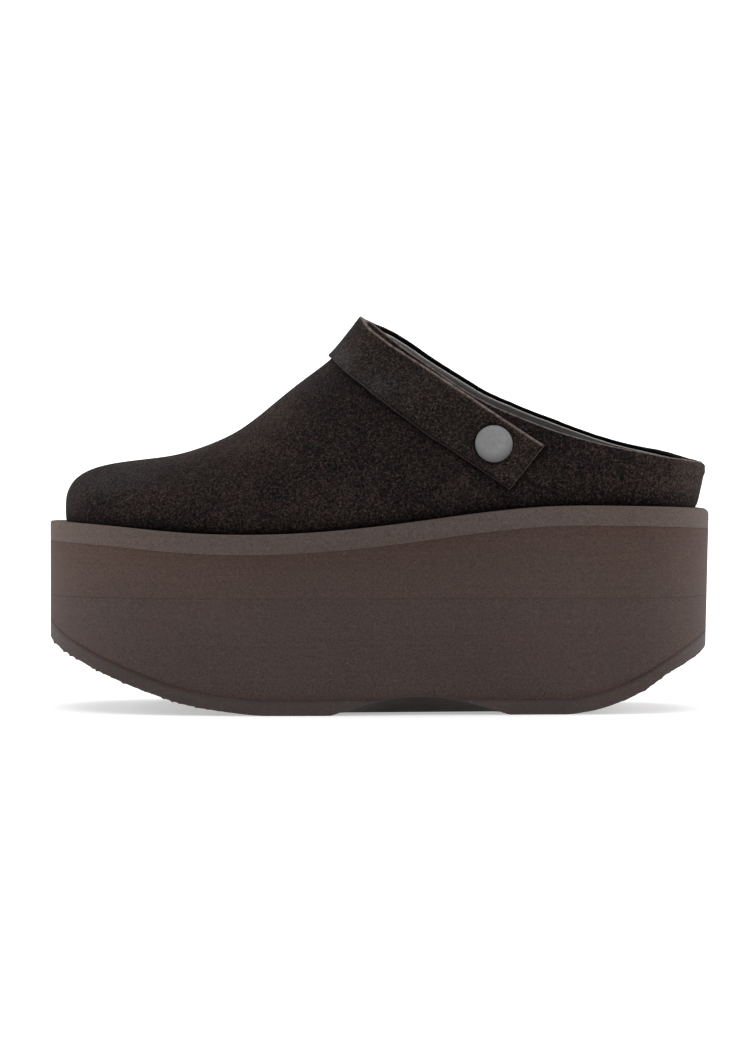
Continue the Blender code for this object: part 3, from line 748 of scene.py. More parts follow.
def leather_material(name, colour, raw_edge_lit_colour):
    """Smooth grey lining leather with a fine pore grain."""
    mat, tree, shader = material(name)
    g = Graph(tree)
    cloud = g.noise(40.0, 3.0, 0.55)
    pore = g.cells(1500.0)
    grain = g.noise(700.0, 3.0, 0.6)
    base = g.blend(g.span(cloud, 0.35, 0.68, 0.0, 1.0, True),
                   tuple(c * 0.86 for c in colour), tuple(c * 1.10 for c in colour))
    base = g.blend(g.span(grain, 0.40, 0.64, 0.0, 0.30, True), base, tuple(c * 0.6 for c in colour))
    base = g.blend(1.0, base, g.grey(g.field("tone")), 'MULTIPLY')
    # raw cut edge: its own lighter colour with a painted highlight
    base = g.blend(g.field("cut"), base, raw_edge_lit_colour)
    g.link(base, shader.inputs["Base Color"])
    g.link(g.span(grain, 0.35, 0.65, 0.52, 0.70), shader.inputs["Roughness"])
    shader.inputs["Specular IOR Level"].default_value = 0.38
    n = g.bump(grain, 0.00025, 0.5)
    n = g.bump(pore, 0.00018, 0.5, n)
    g.link(n, shader.inputs["Normal"])
    return mat


def foam_material(name, cool, warm, scale=1.0):
    """Closed-cell foam, sanded flat along its length."""
    mat, tree, shader = material(name)
    g = Graph(tree)
    brushed = g.noise(1.0, 3.0, 0.6, g.scaled(14.0, 14.0, 1100.0))
    scratch = g.noise(1.0, 2.0, 0.7, g.scaled(40.0, 40.0, 3200.0))
    cloud = g.noise(19.0, 4.0, 0.55, distort=0.4)
    cell = g.noise(2300.0, 2.0, 0.6)
    grain = g.noise(1150.0, 3.0, 0.75)
    hue = g.noise(900.0, 2.0, 0.6, g.shifted(1.7))
    base = g.blend(g.span(cloud, 0.34, 0.68, 0.0, 1.0, True), cool, warm)
    base = g.blend(g.field("warm"), base, tuple(c * k for c, k in zip(warm, (1.02, 0.80, 0.72))))
    base = g.blend(g.span(hue, 0.56, 0.74, 0.0, 0.22, True), base, tuple(c * k for c, k in zip(warm, (1.45, 1.1, 0.9))))
    shade = g.maths('MULTIPLY', g.span(brushed, 0.32, 0.68, 0.955, 1.045), g.field("tone"))
    shade = g.maths('MULTIPLY', shade, g.span(grain, 0.3, 0.7, 0.74, 1.26))
    shade = g.maths('MULTIPLY', shade, g.span(cell, 0.3, 0.7, 0.84, 1.16))
    base = g.blend(1.0, base, g.grey(shade), 'MULTIPLY')
    fleck = g.span(g.noise(610.0, 2.0, 0.5), 0.735, 0.775, 0.0, 0.30, True)
    base = g.blend(fleck, base, (0.16, 0.14, 0.125))
    g.link(base, shader.inputs["Base Color"])
    g.link(g.span(grain, 0.3, 0.7, 0.80, 0.94), shader.inputs["Roughness"])
    shader.inputs["Specular IOR Level"].default_value = 0.16
    n = g.bump(brushed, 0.00006 * scale, 0.4)
    n = g.bump(scratch, 0.00005 * scale, 0.4, n)
    n = g.bump(cell, 0.00025 * scale, 0.7, n)
    g.link(n, shader.inputs["Normal"])
    return mat


def rubber_material(name, colour):
    mat, tree, shader = material(name)
    g = Graph(tree)
    cloud = g.noise(30.0, 4.0, 0.6)
    grain = g.noise(1100.0, 3.0, 0.7)
    brushed = g.noise(1.0, 3.0, 0.6, g.scaled(22.0, 22.0, 1300.0))
    dust = g.noise(210.0, 4.0, 0.7)
    base = g.blend(g.span(cloud, 0.35, 0.68, 0.0, 1.0, True),
                   tuple(c * 0.88 for c in colour), tuple(c * 1.12 for c in colour))
    # warm: the darker red of the glue line, and painted shade under the arch
    base = g.blend(g.field("warm"), base, (0.036, 0.019, 0.014))
    shade = g.maths('MULTIPLY', g.span(grain, 0.3, 0.7, 0.80, 1.20), g.field("tone"))
    shade = g.maths('MULTIPLY', shade, g.span(brushed, 0.3, 0.7, 0.92, 1.08))
    base = g.blend(1.0, base, g.grey(shade), 'MULTIPLY')
    base = g.blend(g.span(dust, 0.60, 0.76, 0.0, 0.28, True), base, (0.13, 0.115, 0.10))
    g.link(base, shader.inputs["Base Color"])
    g.link(g.span(cloud, 0.35, 0.7, 0.72, 0.88), shader.inputs["Roughness"])
    shader.inputs["Specular IOR Level"].default_value = 0.3
    n = g.bump(grain, 0.00030, 0.7)
    n = g.bump(dust, 0.00040, 0.4, n)
    g.link(n, shader.inputs["Normal"])
    return mat


def stud_material(name, colour):
    """Grey coated metal, matt with a faint mottle; shade is painted darker round its rim, most on the lower right."""
    mat, tree, shader = material(name)
    g = Graph(tree)
    mottle = g.noise(620.0, 4.0, 0.7)
    fine = g.noise(2600.0, 2.0, 0.6)
    broad = g.noise(150.0, 2.0, 0.5)
    base = g.blend(g.span(mottle, 0.34, 0.66, 0.0, 1.0, True),
                   tuple(c * 0.90 for c in colour), tuple(c * 1.10 for c in colour))
    base = g.blend(g.span(broad, 0.35, 0.65, 0.0, 0.30, True), base, tuple(c * 0.78 for c in colour))
    base = g.blend(g.span(fine, 0.30, 0.48, 0.25, 0.0, True), base, tuple(c * 0.6 for c in colour))
    # painted shade: darker towards the rim and on the lower right
    base = g.blend(g.span(g.field("rim"), 0.40, 1.02, 0.0, 0.88, True), base, tuple(c * 0.34 for c in colour))
    g.link(base, shader.inputs["Base Color"])
    g.link(g.span(mottle, 0.3, 0.7, 0.44, 0.58), shader.inputs["Roughness"])
    shader.inputs["Metallic"].default_value = 0.15
    shader.inputs["Specular IOR Level"].default_value = 0.35
    n = g.bump(mottle, 0.00008, 0.5)
    n = g.bump(fine, 0.00006, 0.4, n)
    g.link(n, shader.inputs["Normal"])
    return mat


# ----------------------------------------------------------- surface relief
def crease_field(points, side):
    """Depth of the listed troughs and swells at points of the upper."""
    x, z = points[..., 0], points[..., 2]
    depth = np.zeros_like(x)
    for k in range(len(CREASES["x_a"])):
        row = {key: CREASES[key][k] for key in CREASES}
        ax, az = row["x_a"], row["z_a"]
        dx, dz = row["x_b"] - ax, row["z_b"] - az
        length = math.hypot(dx, dz)
        t = ((x - ax) * dx + (z - az) * dz) / length ** 2
        off = ((x - ax) * dz - (z - az) * dx) / length
        bow = 0.10 * length * (1 - (2 * t - 1) ** 2)
        across = np.exp(-((off - bow) / row["half_width"]) ** 2)
        along = np.exp(-(np.maximum(np.abs(t - 0.5) - 0.32, 0) / 0.22) ** 2)
        here = (side < 0) if row["side"] < 0 else (side > 0)
        depth = depth + row["depth"] * across * along * here
    return depth


def suede_fields(points, side, seat_h):
    """Where the suede is darker or rubbed brown, and where a grey sheen is painted on."""
    x, y, z = points[..., 0], points[..., 1], points[..., 2]
    crest = ridge_z(x) - z
    tone = 1.0 + 0.10 * noise3(x / 34, y / 34, z / 34, 3) + 0.10 * noise3(x / 12, y / 12, z / 12, 4)
    tone += 0.22 * smooth_step(70, 128, x)
    tone -= 0.16 * np.exp(-((x - 5) / 24) ** 2 - ((z - 100) / 16) ** 2)
    tone -= 0.10 * np.exp(-((x + 60) / 34) ** 2 - ((z - 90) / 12) ** 2)
    tone -= 0.18 * np.exp(-((x + 18) / 14) ** 2 - ((z - 128) / 14) ** 2)
    # painted shade where the upper meets the sole: darker along the foot of the wall
    tone -= 0.30 * np.exp(-seat_h / 1.8)
    # contact shade along the strap's lower edge and cut end
    tone *= 1 - 0.62 * np.exp(-(from_strap(points) / 1.5) ** 2)
    worn = 0.55 * np.exp(-((x + 40) / 8) ** 2 - ((z - 119) / 6) ** 2)
    worn += 0.50 * np.exp(-((x + 56) / 10) ** 2 - ((z - 107) / 6) ** 2)
    worn += 0.60 * np.exp(-((x + 77) / 17) ** 2) * np.exp(-(crest / 3.5) ** 2)
    worn += 0.22 * np.exp(-((x + 92) / 14) ** 2 - ((z - 86) / 5) ** 2)
    worn += 0.50 * smooth_step(84, 126, x) * smooth_step(3, 9, seat_h)
    worn += 0.18 * np.exp(-((x - 66) / 16) ** 2 - ((z - 94) / 6) ** 2)
    worn = worn * (0.75 + 0.45 * noise3(x / 9, y / 9, z / 9, 8))
    # painted sheen: grey light painted over the toe's top and near the throat
    painted_sheen = 0.50 * np.exp(-((x + 106) / 17) ** 2) * np.exp(-((crest - 5.5) / 6.0) ** 2)
    painted_sheen += 0.16 * np.exp(-((x + 30) / 10) ** 2 - ((z - 130) / 6) ** 2)
    painted_sheen = painted_sheen * (0.75 + 0.45 * noise3(x / 6, y / 6, z / 6, 9))
    return np.clip(tone, 0.12, 1.8), np.clip(painted_sheen, 0, 1), np.clip(worn, 0, 1)


def from_strap(points):
    """Distance below the strap's lower edge or behind its cut end, from the side."""
    x, z = points[..., 0], points[..., 2]
    lx, hx = STRAP_EDGES["end_x"]
    lz, hz = STRAP_EDGES["end_z"]
    rx, rz = STRAP_EDGES["ridge_x"][0], STRAP_EDGES["ridge_z"][0]
    length = math.hypot(rx - lx, rz - lz)
    ux, uz = (rx - lx) / length, (rz - lz) / length
    f = ((x - lx) * ux + (z - lz) * uz) / length
    off = (x - lx) * uz - (z - lz) * ux + sag_low(np.clip(f, 0, 1))
    low = np.where((f > -0.01) & (f < 1.02), np.abs(off + 0.5), 99.0)
    low = np.where(off > 0.6, 99.0, low)
    ex, ez = hx - lx, hz - lz
    end = math.hypot(ex, ez)
    ex, ez = ex / end, ez / end
    g = (x - lx) * ex + (z - lz) * ez
    out = (x - lx) * ez - (z - lz) * ex
    back = np.where((g > -0.5) & (g < end + 0.2) & (out > -0.6), np.abs(out - 0.5), 99.0)
    return np.minimum(low, back)


def strap_line(across, angle):
    mix = {k: v[0] + (v[1] - v[0]) * across for k, v in STRAP_EDGES.items()}
    run_x, run_z = mix["ridge_x"] - mix["end_x"], mix["ridge_z"] - mix["end_z"]
    length = np.hypot(run_x, run_z)
    run_x, run_z = run_x / length, run_z / length
    middle_end, _, _ = widths(mix["end_x"])

    def place(reach):
        along = reach * np.cos(angle) * length
        y = middle_end + reach * np.sin(angle) * 40.0
        f = np.clip(along / length, 0, 1.2)
        sag = sag_low(f) * (1 - across) + np.where(angle < 0, sag_high(f), sag_far(f)) * across
        x = mix["end_x"] + run_x * along - run_z * sag
        z = mix["end_z"] + run_z * along + run_x * sag
        middle, _, _ = widths(x)
        return x, y - middle_end + middle, z
    low = np.zeros_like(angle)
    high = np.full_like(angle, 2.5)
    for _ in range(40):
        mid = 0.5 * (low + high)
        x, y, z = place(mid)
        outside = shell_value(x, y, z - seat_z(x)) > 0
        high = np.where(outside, mid, high)
        low = np.where(outside, low, mid)
    x, y, z = place(0.5 * (low + high))
    point = swell(np.stack([x, y, z - seat_z(x)], -1))
    point[..., 2] += seat_z(point[..., 0])
    return point


def wall_point(x, z, side):
    x, h = np.asarray(x, float), np.asarray(z, float) - seat_z(x)
    middle, lateral, medial = widths(x)
    share = shell_share(x, h)
    y = np.where(side < 0, middle - lateral * share, middle + medial * share)
    point = swell(np.stack([x, y, h], -1))
    point[..., 2] += seat_z(point[..., 0])
    return point


def stud_frame(side):
    d = 1.0
    centre = wall_point(STUD_X, STUD_Z, side)
    dx = wall_point(STUD_X + d, STUD_Z, side) - wall_point(STUD_X - d, STUD_Z, side)
    dz = wall_point(STUD_X, STUD_Z + d, side) - wall_point(STUD_X, STUD_Z - d, side)
    out = np.cross(dx, dz)
    out /= np.linalg.norm(out)
    return centre, (-out if out[1] * side < 0 else out)


STUDS = {side: stud_frame(side) for side in (-1, 1)}


def from_stud(points):
    """Distance of points to the nearer stud's axis."""
    best = np.full(points.shape[:-1], 1e3)
    for centre, out in STUDS.values():
        rel = points - centre
        along = rel @ out
        off = np.sqrt(np.maximum((rel ** 2).sum(-1) - along ** 2, 0))
        off = np.where(np.abs(along) < 20, off, 1e3)
        best = np.minimum(best, off)
    return best


# ------------------------------------------------------------------- pieces
AROUND, UP = 230, 84


def relief_at(points):
    """Soft height of the suede over the plain shell, in space."""
    x, y, z = points[..., 0], points[..., 1], points[..., 2]
    ridge, _, _ = widths(x)
    fade = smooth_step(2.0, 12.0, np.abs(y - ridge))
    relief = crease_field(points, np.sign(y - ridge)) * fade
    relief = relief + 0.15 * noise3(x / 21, y / 21, z / 15, 21) + 0.06 * noise3(x / 8, y / 8, z / 8, 22)
    relief = relief * smooth_step(0.5, 7.0, z - seat_z(x))
    return relief - 0.20 * np.exp(-(from_stud(points) / 8.5) ** 2)


def build_upper():
    grid = upper_grid(AROUND, UP)
    middle = grid.mean(axis=(0, 1))
    normal = grid_normals(grid, True, middle)
    ridge, _, _ = widths(grid[..., 0])
    side = np.sign(grid[..., 1] - ridge)
    seat_h = grid[..., 2] - seat_z(grid[..., 0])
    x, y, z = grid[..., 0], grid[..., 1], grid[..., 2]
    # the foot of the wall curls in where it is glued down
    relief = relief_at(grid) - 0.35 * np.exp(-seat_h / 0.9)
    # behind the heel the raw edge is rolled over, with a worn bulge below it
    span = np.linalg.norm(np.diff(grid, axis=1), axis=2)
    run = np.concatenate([np.zeros((len(grid), 1)), np.cumsum(span, 1)], 1)
    below = run[:, -1:] - run
    back = smooth_step(104, 127, x)
    roll = 1.9 - np.sqrt(np.maximum(1.9 ** 2 - np.maximum(1.9 - below, 0) ** 2, 0))
    relief = relief - back * 1.0 * roll
    relief = relief - (1 - back) * 0.22 * np.exp(-(below / 0.9) ** 2)
    relief = relief + back * 0.34 * np.exp(-((below - 3.9) / 1.25) ** 2)
    surface = grid + normal * relief[..., None]
    # the raw collar edge wanders a little
    wander = 0.32 + 0.40 * smooth_step(98, 126, x[:, -1])
    wander = wander + 0.18 * noise3(x[:, -1] / 9, y[:, -1] / 9, 0, 31) + 0.08 * noise3(x[:, -1] / 2.2, y[:, -1] / 2.2, 0, 32)
    up = grid[:, -1] - grid[:, -4]
    up /= np.linalg.norm(up, axis=1)[:, None]
    surface[:, -1] += up * wander[:, None]
    normal = grid_normals(surface, True, middle)
    tone, painted_sheen, worn = suede_fields(surface, side, seat_h)
    # painted shade: the top rows of the suede are darker on the far side; near also limits the painted highlight of the
    # cut edge to the near side
    near = np.clip(0.5 - 0.5 * np.clip((y[:, -1] - ridge[:, -1]) / 6.0, -1, 1), 0.04, 1.0)
    tone[:, -2:] *= (0.35 + 0.65 * near)[:, None]
    # painted shade: the last argument gives the suede's inner face 0.18 of its tone
    suede = sheet_wall("upper_suede", surface.copy(), normal, SUEDE,
                       lambda v: sole_top(v) + SEAT_GAP, 0.45,
                       {"tone": tone, "painted_sheen": painted_sheen, "worn": worn}, near, 0.18)
    # the lining stops a little below the suede's edge
    keep = UP + 1
    span = np.linalg.norm(np.diff(surface, axis=1), axis=2)
    run = np.concatenate([np.zeros((len(surface), 1)), np.cumsum(span, 1)], 1)
    drop = 1.7 + 0.12 * noise3(x[:, -1] / 14, y[:, -1] / 14, 0, 41)
    lined = np.empty_like(surface)
    lined_normal = np.empty_like(surface)
    stop = run[:, -1] - drop
    for i in range(len(surface)):
        at = np.linspace(0, 1, keep) ** 1.1 * stop[i]
        for c in range(3):
            lined[i, :, c] = np.interp(at, run[i], surface[i, :, c])
            lined_normal[i, :, c] = np.interp(at, run[i], normal[i, :, c])
    lined_normal /= np.linalg.norm(lined_normal, axis=2)[..., None]
    lined = lined - lined_normal * (SUEDE + 0.03)
    share = np.linspace(0, 1, keep)[None, :] * np.ones((len(surface), 1))
    # painted shade: the lining darker towards its bottom, deeper in the shoe, with random tone
    lining_shade_tone = 1.0 - 0.22 * smooth_step(0.0, 0.5, 1 - share) + 0.10 * noise3(lined[..., 0] / 16, lined[..., 1] / 16, lined[..., 2] / 16, 43)
    lining = sheet_wall("upper_lining", lined, lined_normal, WALL - SUEDE - 0.05,
                        lambda v: sole_top(v) + SEAT_GAP, 0.30, {"tone": lining_shade_tone}, np.ones(len(surface)))
    suede.data.materials.append(MATS["suede"])
    lining.data.materials.append(MATS["lining"])
    return [suede, lining]


def build_strap():
    along, across = 300, 30
    angle = np.linspace(-0.5 * math.pi, 0.5 * math.pi, 721)
    shares_across = np.linspace(0, 1, across + 1)
    rows = np.stack([strap_line(np.full_like(angle, c), angle) for c in shares_across])
    rows = resample(rows, np.linspace(0, 1, along + 1))
    grid = rows.transpose(1, 0, 2)
    centre = np.array([25.0, 0.0, 100.0])
    part = np.linspace(-1, 1, along + 1)[:, None]
    c = shares_across[None, :]
    # raw edges wander, the cut ends stay square
    x, y, z = grid[..., 0], grid[..., 1], grid[..., 2]
    way = grid[:, -1] - grid[:, 0]
    way /= np.linalg.norm(way, axis=1)[:, None]
    low = 0.16 * noise3(x[:, 0] / 7, y[:, 0] / 7, 0, 51) + 0.07 * noise3(x[:, 0] / 1.9, y[:, 0] / 1.9, 0, 52)
    high = 0.16 * noise3(x[:, -1] / 7, y[:, -1] / 7, 0, 53) + 0.07 * noise3(x[:, -1] / 1.9, y[:, -1] / 1.9, 0, 54)
    move = low[:, None] * (1 - c) ** 4 + high[:, None] * c ** 4
    grid = grid + way[:, None, :] * move[..., None]
    normal = grid_normals(grid, False, centre)
    lift = STRAP_GAP + STRAP_LIFT * c ** 1.4 * np.exp(-(part / 0.42) ** 2)
    # the free ends stand off a touch past the stud
    lift = lift + 0.35 * smooth_step(0.90, 1.0, np.abs(part)) * np.ones_like(c)
    ripple = 0.12 * noise3(x / 17, y / 17, z / 17, 55) + 0.05 * noise3(x / 6, y / 6, z / 6, 56)
    press = 0.38 * np.exp(-(from_stud(grid) / 8.2) ** 4)
    under = grid + normal * (lift + relief_at(grid) + np.maximum(ripple, 0))[..., None]
    over = under + normal * (STRAP + 0.5 * ripple - press)[..., None]
    # closed section: underside, high edge, outer face, low edge
    ring = [under[:, j] for j in range(across + 1)]
    count = 6
    up = way
    # how much lighter raw-edge colour each part of the section gets: a painted highlight on the high edge, little on
    # the shaded low edge
    ring_edge_lit = [0.0] * (across - 1) + [0.4, 0.8]
    for k in range(1, count):
        a = math.pi * k / count
        s, h = math.sin(a) ** 0.6, math.cos(a)
        mid = 0.5 * (under[:, -1] + over[:, -1])
        half = 0.5 * (under[:, -1] - over[:, -1])
        ring.append(mid + half * math.copysign(abs(h) ** 0.8, h) + up * 0.62 * s)
        ring_edge_lit.append(1.0 if k < 4 else 0.9)
    ring += [over[:, j] for j in range(across, -1, -1)]
    ring_edge_lit += [0.85] + [0.0] * across
    for k in range(1, count):
        a = math.pi * k / count
        s, h = math.sin(a) ** 0.6, math.cos(a)
        mid = 0.5 * (under[:, 0] + over[:, 0])
        half = 0.5 * (over[:, 0] - under[:, 0])
        ring.append(mid + half * math.copysign(abs(h) ** 0.8, h) - up * 0.62 * s)
        ring_edge_lit.append(0.12)
    loop = np.stack(ring, 1)
    total = loop.shape[1]
    cut = np.tile(np.array(ring_edge_lit[:total] + [1.0] * (total - len(ring_edge_lit))), (along + 1, 1))
    # rounded square ends
    first, last = [], []
    for end, rows_out in ((0, first), (-1, last)):
        step = loop[end] - loop[1 if end == 0 else -2]
        step = step / np.maximum(np.linalg.norm(step, axis=1), 1e-9)[:, None]
        axis = 0.5 * (under[end] + over[end])
        mid_of = np.concatenate([axis, np.repeat(axis[-1:], count - 1, 0), axis[::-1],
                                 np.repeat(axis[:1], count - 1, 0)])
        for out_by, shrink in ((0.18, 0.10), (0.32, 0.30), (0.40, 0.62), (0.42, 0.999)):
            rows_out.append(loop[end] + step * out_by + (mid_of - loop[end]) * shrink)
    stack = np.stack(first[::-1] + [loop[i] for i in range(along + 1)] + last)
    cut = np.concatenate([np.full((4, total), 0.30), cut, np.full((4, total), 0.30)])
    shape = stack.shape[0]
    faces = list(map(tuple, loop_faces(shape, total, False)))
    faces.append(tuple(range(total - 1, -1, -1)))
    faces.append(tuple((shape - 1) * total + k for k in range(total)))
    px, pz = stack[..., 0], stack[..., 2]
    tone = 1.04 + 0.12 * noise3(px / 13, stack[..., 1] / 13, pz / 13, 57)
    tone += 0.16 * smooth_step(26, 56, px)
    # painted shade round the stud, on the underside, on the lower edge and on the cut ends
    off = from_stud(stack)
    tone *= 1 - 0.80 * np.exp(-((off - 7.5) / 0.75) ** 2)
    tone[:, :across + 1] *= 0.25
    tone[:, total - count:] *= 0.30
    tone[:5] *= 0.55
    tone[-5:] *= 0.55
    worn = 0.30 * smooth_step(30, 60, px) * (0.7 + 0.5 * noise3(px / 6, stack[..., 1] / 6, pz / 6, 59))
    # painted sheen: grey light painted on the strap's front near the throat
    painted_sheen = 0.85 * np.exp(-((px + 17) / 7) ** 2 - ((pz - 141) / 8) ** 2)
    painted_sheen += 0.45 * np.exp(-((px + 5) / 13) ** 2 - ((pz - 131) / 6) ** 2)
    painted_sheen += 0.12 * np.exp(-((px - 12) / 10) ** 2 - ((pz - 133) / 8) ** 2)
    painted_sheen = np.clip(painted_sheen * (0.8 + 0.4 * noise3(px / 5, stack[..., 1] / 5, pz / 5, 58)), 0, 1)
    strap = make_piece("strap_band", stack.reshape(-1, 3), faces,
                       {"cut": cut.ravel(), "tone": tone.ravel(), "painted_sheen": painted_sheen.ravel(), "worn": worn.ravel()})
    strap.data.materials.append(MATS["strap"])
    return strap


def turned(name, profile, side, steps=96):
    centre, out = STUDS[side]
    u = np.cross(out, np.array([1.0, 0.0, 0.0]))
    u /= np.linalg.norm(u)
    w = np.cross(out, u)
    verts, rings, rim = [], [], []
    for radius, height in profile:
        base = centre + out * height
        if radius < 1e-6:
            rings.append([len(verts)] * steps)
            verts.append(base)
            rim.append(0.0)
            continue
        rings.append([len(verts) + i for i in range(steps)])
        turn = 2 * math.pi * np.arange(steps) / steps
        place = np.cos(turn)[:, None] * u + np.sin(turn)[:, None] * w
        # painted shade on the stud: the rim value grows towards the edge and on the lower right side, away from the
        # light
        away_from_light = 0.5 + 0.5 * (place[:, 0] * 0.62 - place[:, 2] * 0.78)
        rim.extend(radius / (0.5 * STUD_DIAMETER) * (0.62 + 0.40 * away_from_light))
        a = 2 * math.pi * np.arange(steps) / steps
        verts.extend(base + radius * (np.cos(a)[:, None] * u + np.sin(a)[:, None] * w))
    faces = []
    closed = profile[0][0] > 1e-6
    for a, b in list(zip(rings, rings[1:])) + ([(rings[-1], rings[0])] if closed else []):
        for i in range(steps):
            j = (i + 1) % steps
            face = tuple(dict.fromkeys((a[i], a[j], b[j], b[i])))
            if len(face) > 2:
                faces.append(face)
    return make_piece(name, np.array(verts), faces, {"rim": rim})


STUD_PROFILE = table("radius height",
                     (0.0, 3.00),
                     (1.8, 2.94),
                     (3.6, 2.72),
                     (5.0, 2.38),
                     (6.1, 1.93),
                     (6.8, 1.46),
                     (7.25, 0.98),
                     (7.5, 0.60),
                     (7.5, 0.38),
                     (7.2, 0.22),
                     (6.7, 0.18),
                     (4.6, 0.16))


def build_studs():
    out = []
    under = STRAP_GAP + STRAP + 0.10
    post, inner = 1.8, -(WALL + 0.30)
    t = np.arange(len(STUD_PROFILE["radius"]), dtype=float)
    fine = np.linspace(0, t[-1], 45)
    radius = np.maximum(spline(t, STUD_PROFILE["radius"])(fine), 0)
    height = spline(t, STUD_PROFILE["height"])(fine)
    radius[0] = 0.0
    for side, word in ((-1, "lateral"), (1, "medial")):
        profile = [(r, under + h) for r, h in zip(radius, height)]
        profile += [(post, under), (post, inner - 1.3), (post - 0.3, inner - 1.6), (0.0, inner - 1.6)]
        cap = turned("stud_%s" % word, profile, side)
        ring = [(post + 0.12, inner), (5.2, inner), (5.5, inner - 0.25), (5.5, inner - 0.7),
                (5.2, inner - 0.98), (3.6, inner - 1.05), (2.6, inner - 1.30), (post + 0.12, inner - 1.30)]
        washer = turned("washer_%s" % word, ring, side, 64)
        for piece in (cap, washer):
            piece.data.set_sharp_from_angle(angle=math.radians(50))
            piece.data.materials.append(MATS["stud"])
        out.append((side, word, cap, washer))
    return out


def drill(targets, side):
    """Punches the stud's hole through strap, suede and lining."""
    tool = turned("drill", [(0, 9.0), (2.1, 9.0), (2.1, -8.0), (0, -8.0)], side, 48)
    for piece in targets:
        cut = piece.modifiers.new("hole", 'BOOLEAN')
        cut.operation = 'DIFFERENCE'
        cut.solver = 'MANIFOLD'
        cut.object = tool
    bpy.context.view_layer.update()
    for piece in targets:
        graph = bpy.context.evaluated_depsgraph_get()
        baked = bpy.data.meshes.new_from_object(piece.evaluated_get(graph))
        if len(baked.vertices) > 0.9 * len(piece.data.vertices):
            old = piece.data
            piece.modifiers.clear()
            piece.data = baked
            bpy.data.meshes.remove(old)
        else:
            piece.modifiers.clear()
    bpy.data.objects.remove(tool)


def block(name, steps, rings, mat, fields):
    """Closed sheet of the platform, from the middle line above to below.

    Each ring is (inset, squeeze, height function, rounding shift)."""
    count = 2 * steps
    rows = []
    for inset, squeeze, height, ease in rings:
        plan = plan_loop(inset, steps, squeeze)
        depth = inset + 40.0 * squeeze
        if ease is not None:
            reach, drop = ease(plan[:, 0])
            inner = plan_loop(2.0, steps)
            plan = plan + (inner - plan) * (reach / 2.0)[:, None]
        else:
            drop = 0.0
        z = height(plan[:, 0], depth) - drop
        x = plan[:, 0] + heel_tuck(plan[:, 0], z)
        rows.append(np.stack([x, plan[:, 1], z], 1))
    grid = np.stack(rows)
    total = len(rows)
    faces = []
    index = np.arange(total * count).reshape(total, count)
    for end in (0, total - 1):
        fold = np.arange(steps + 1)
        fold = np.concatenate([fold, fold[-2:0:-1]])
        index[end] = index[end][fold]
        grid[end] = grid[end][fold]
        grid[end][:, 1] = sole_centre(grid[end][:, 0])
    for r in range(total - 1):
        a, b = index[r], index[r + 1]
        for i in range(count):
            j = (i + 1) % count
            face = tuple(dict.fromkeys((int(a[i]), int(a[j]), int(b[j]), int(b[i]))))
            if len(face) > 2:
                faces.append(face)
    flat = grid.reshape(-1, 3)
    used = np.zeros(len(flat), bool)
    used[np.unique(np.concatenate([np.array(f) for f in faces]))] = True
    renumber = np.cumsum(used) - 1
    faces = [tuple(int(renumber[v]) for v in f) for f in faces]
    obj = make_piece(name, flat[used], faces, fields(flat[used]))
    obj.data.set_sharp_from_angle(angle=math.radians(42))
    obj.data.materials.append(mat)
    return obj


def ease_top(amount_x):
    def ease(share):
        def run(x):
            r = amount_x(x)
            a = 0.5 * math.pi * share
            return r * (1 - math.cos(a)), r * (1 - math.sin(a))
        return run
    return ease


def ribs(x, y):
    """Shallow cross ribs of the tread, 0 in a groove and 1 on a rib."""
    wave = x + 1.3 * np.sin(2 * math.pi * y / 23.0) + 0.5 * noise3(x / 9, y / 9, 0, 61)
    s = np.sin(2 * math.pi * wave / 4.4)
    return smooth_step(-0.75, 0.15, s)


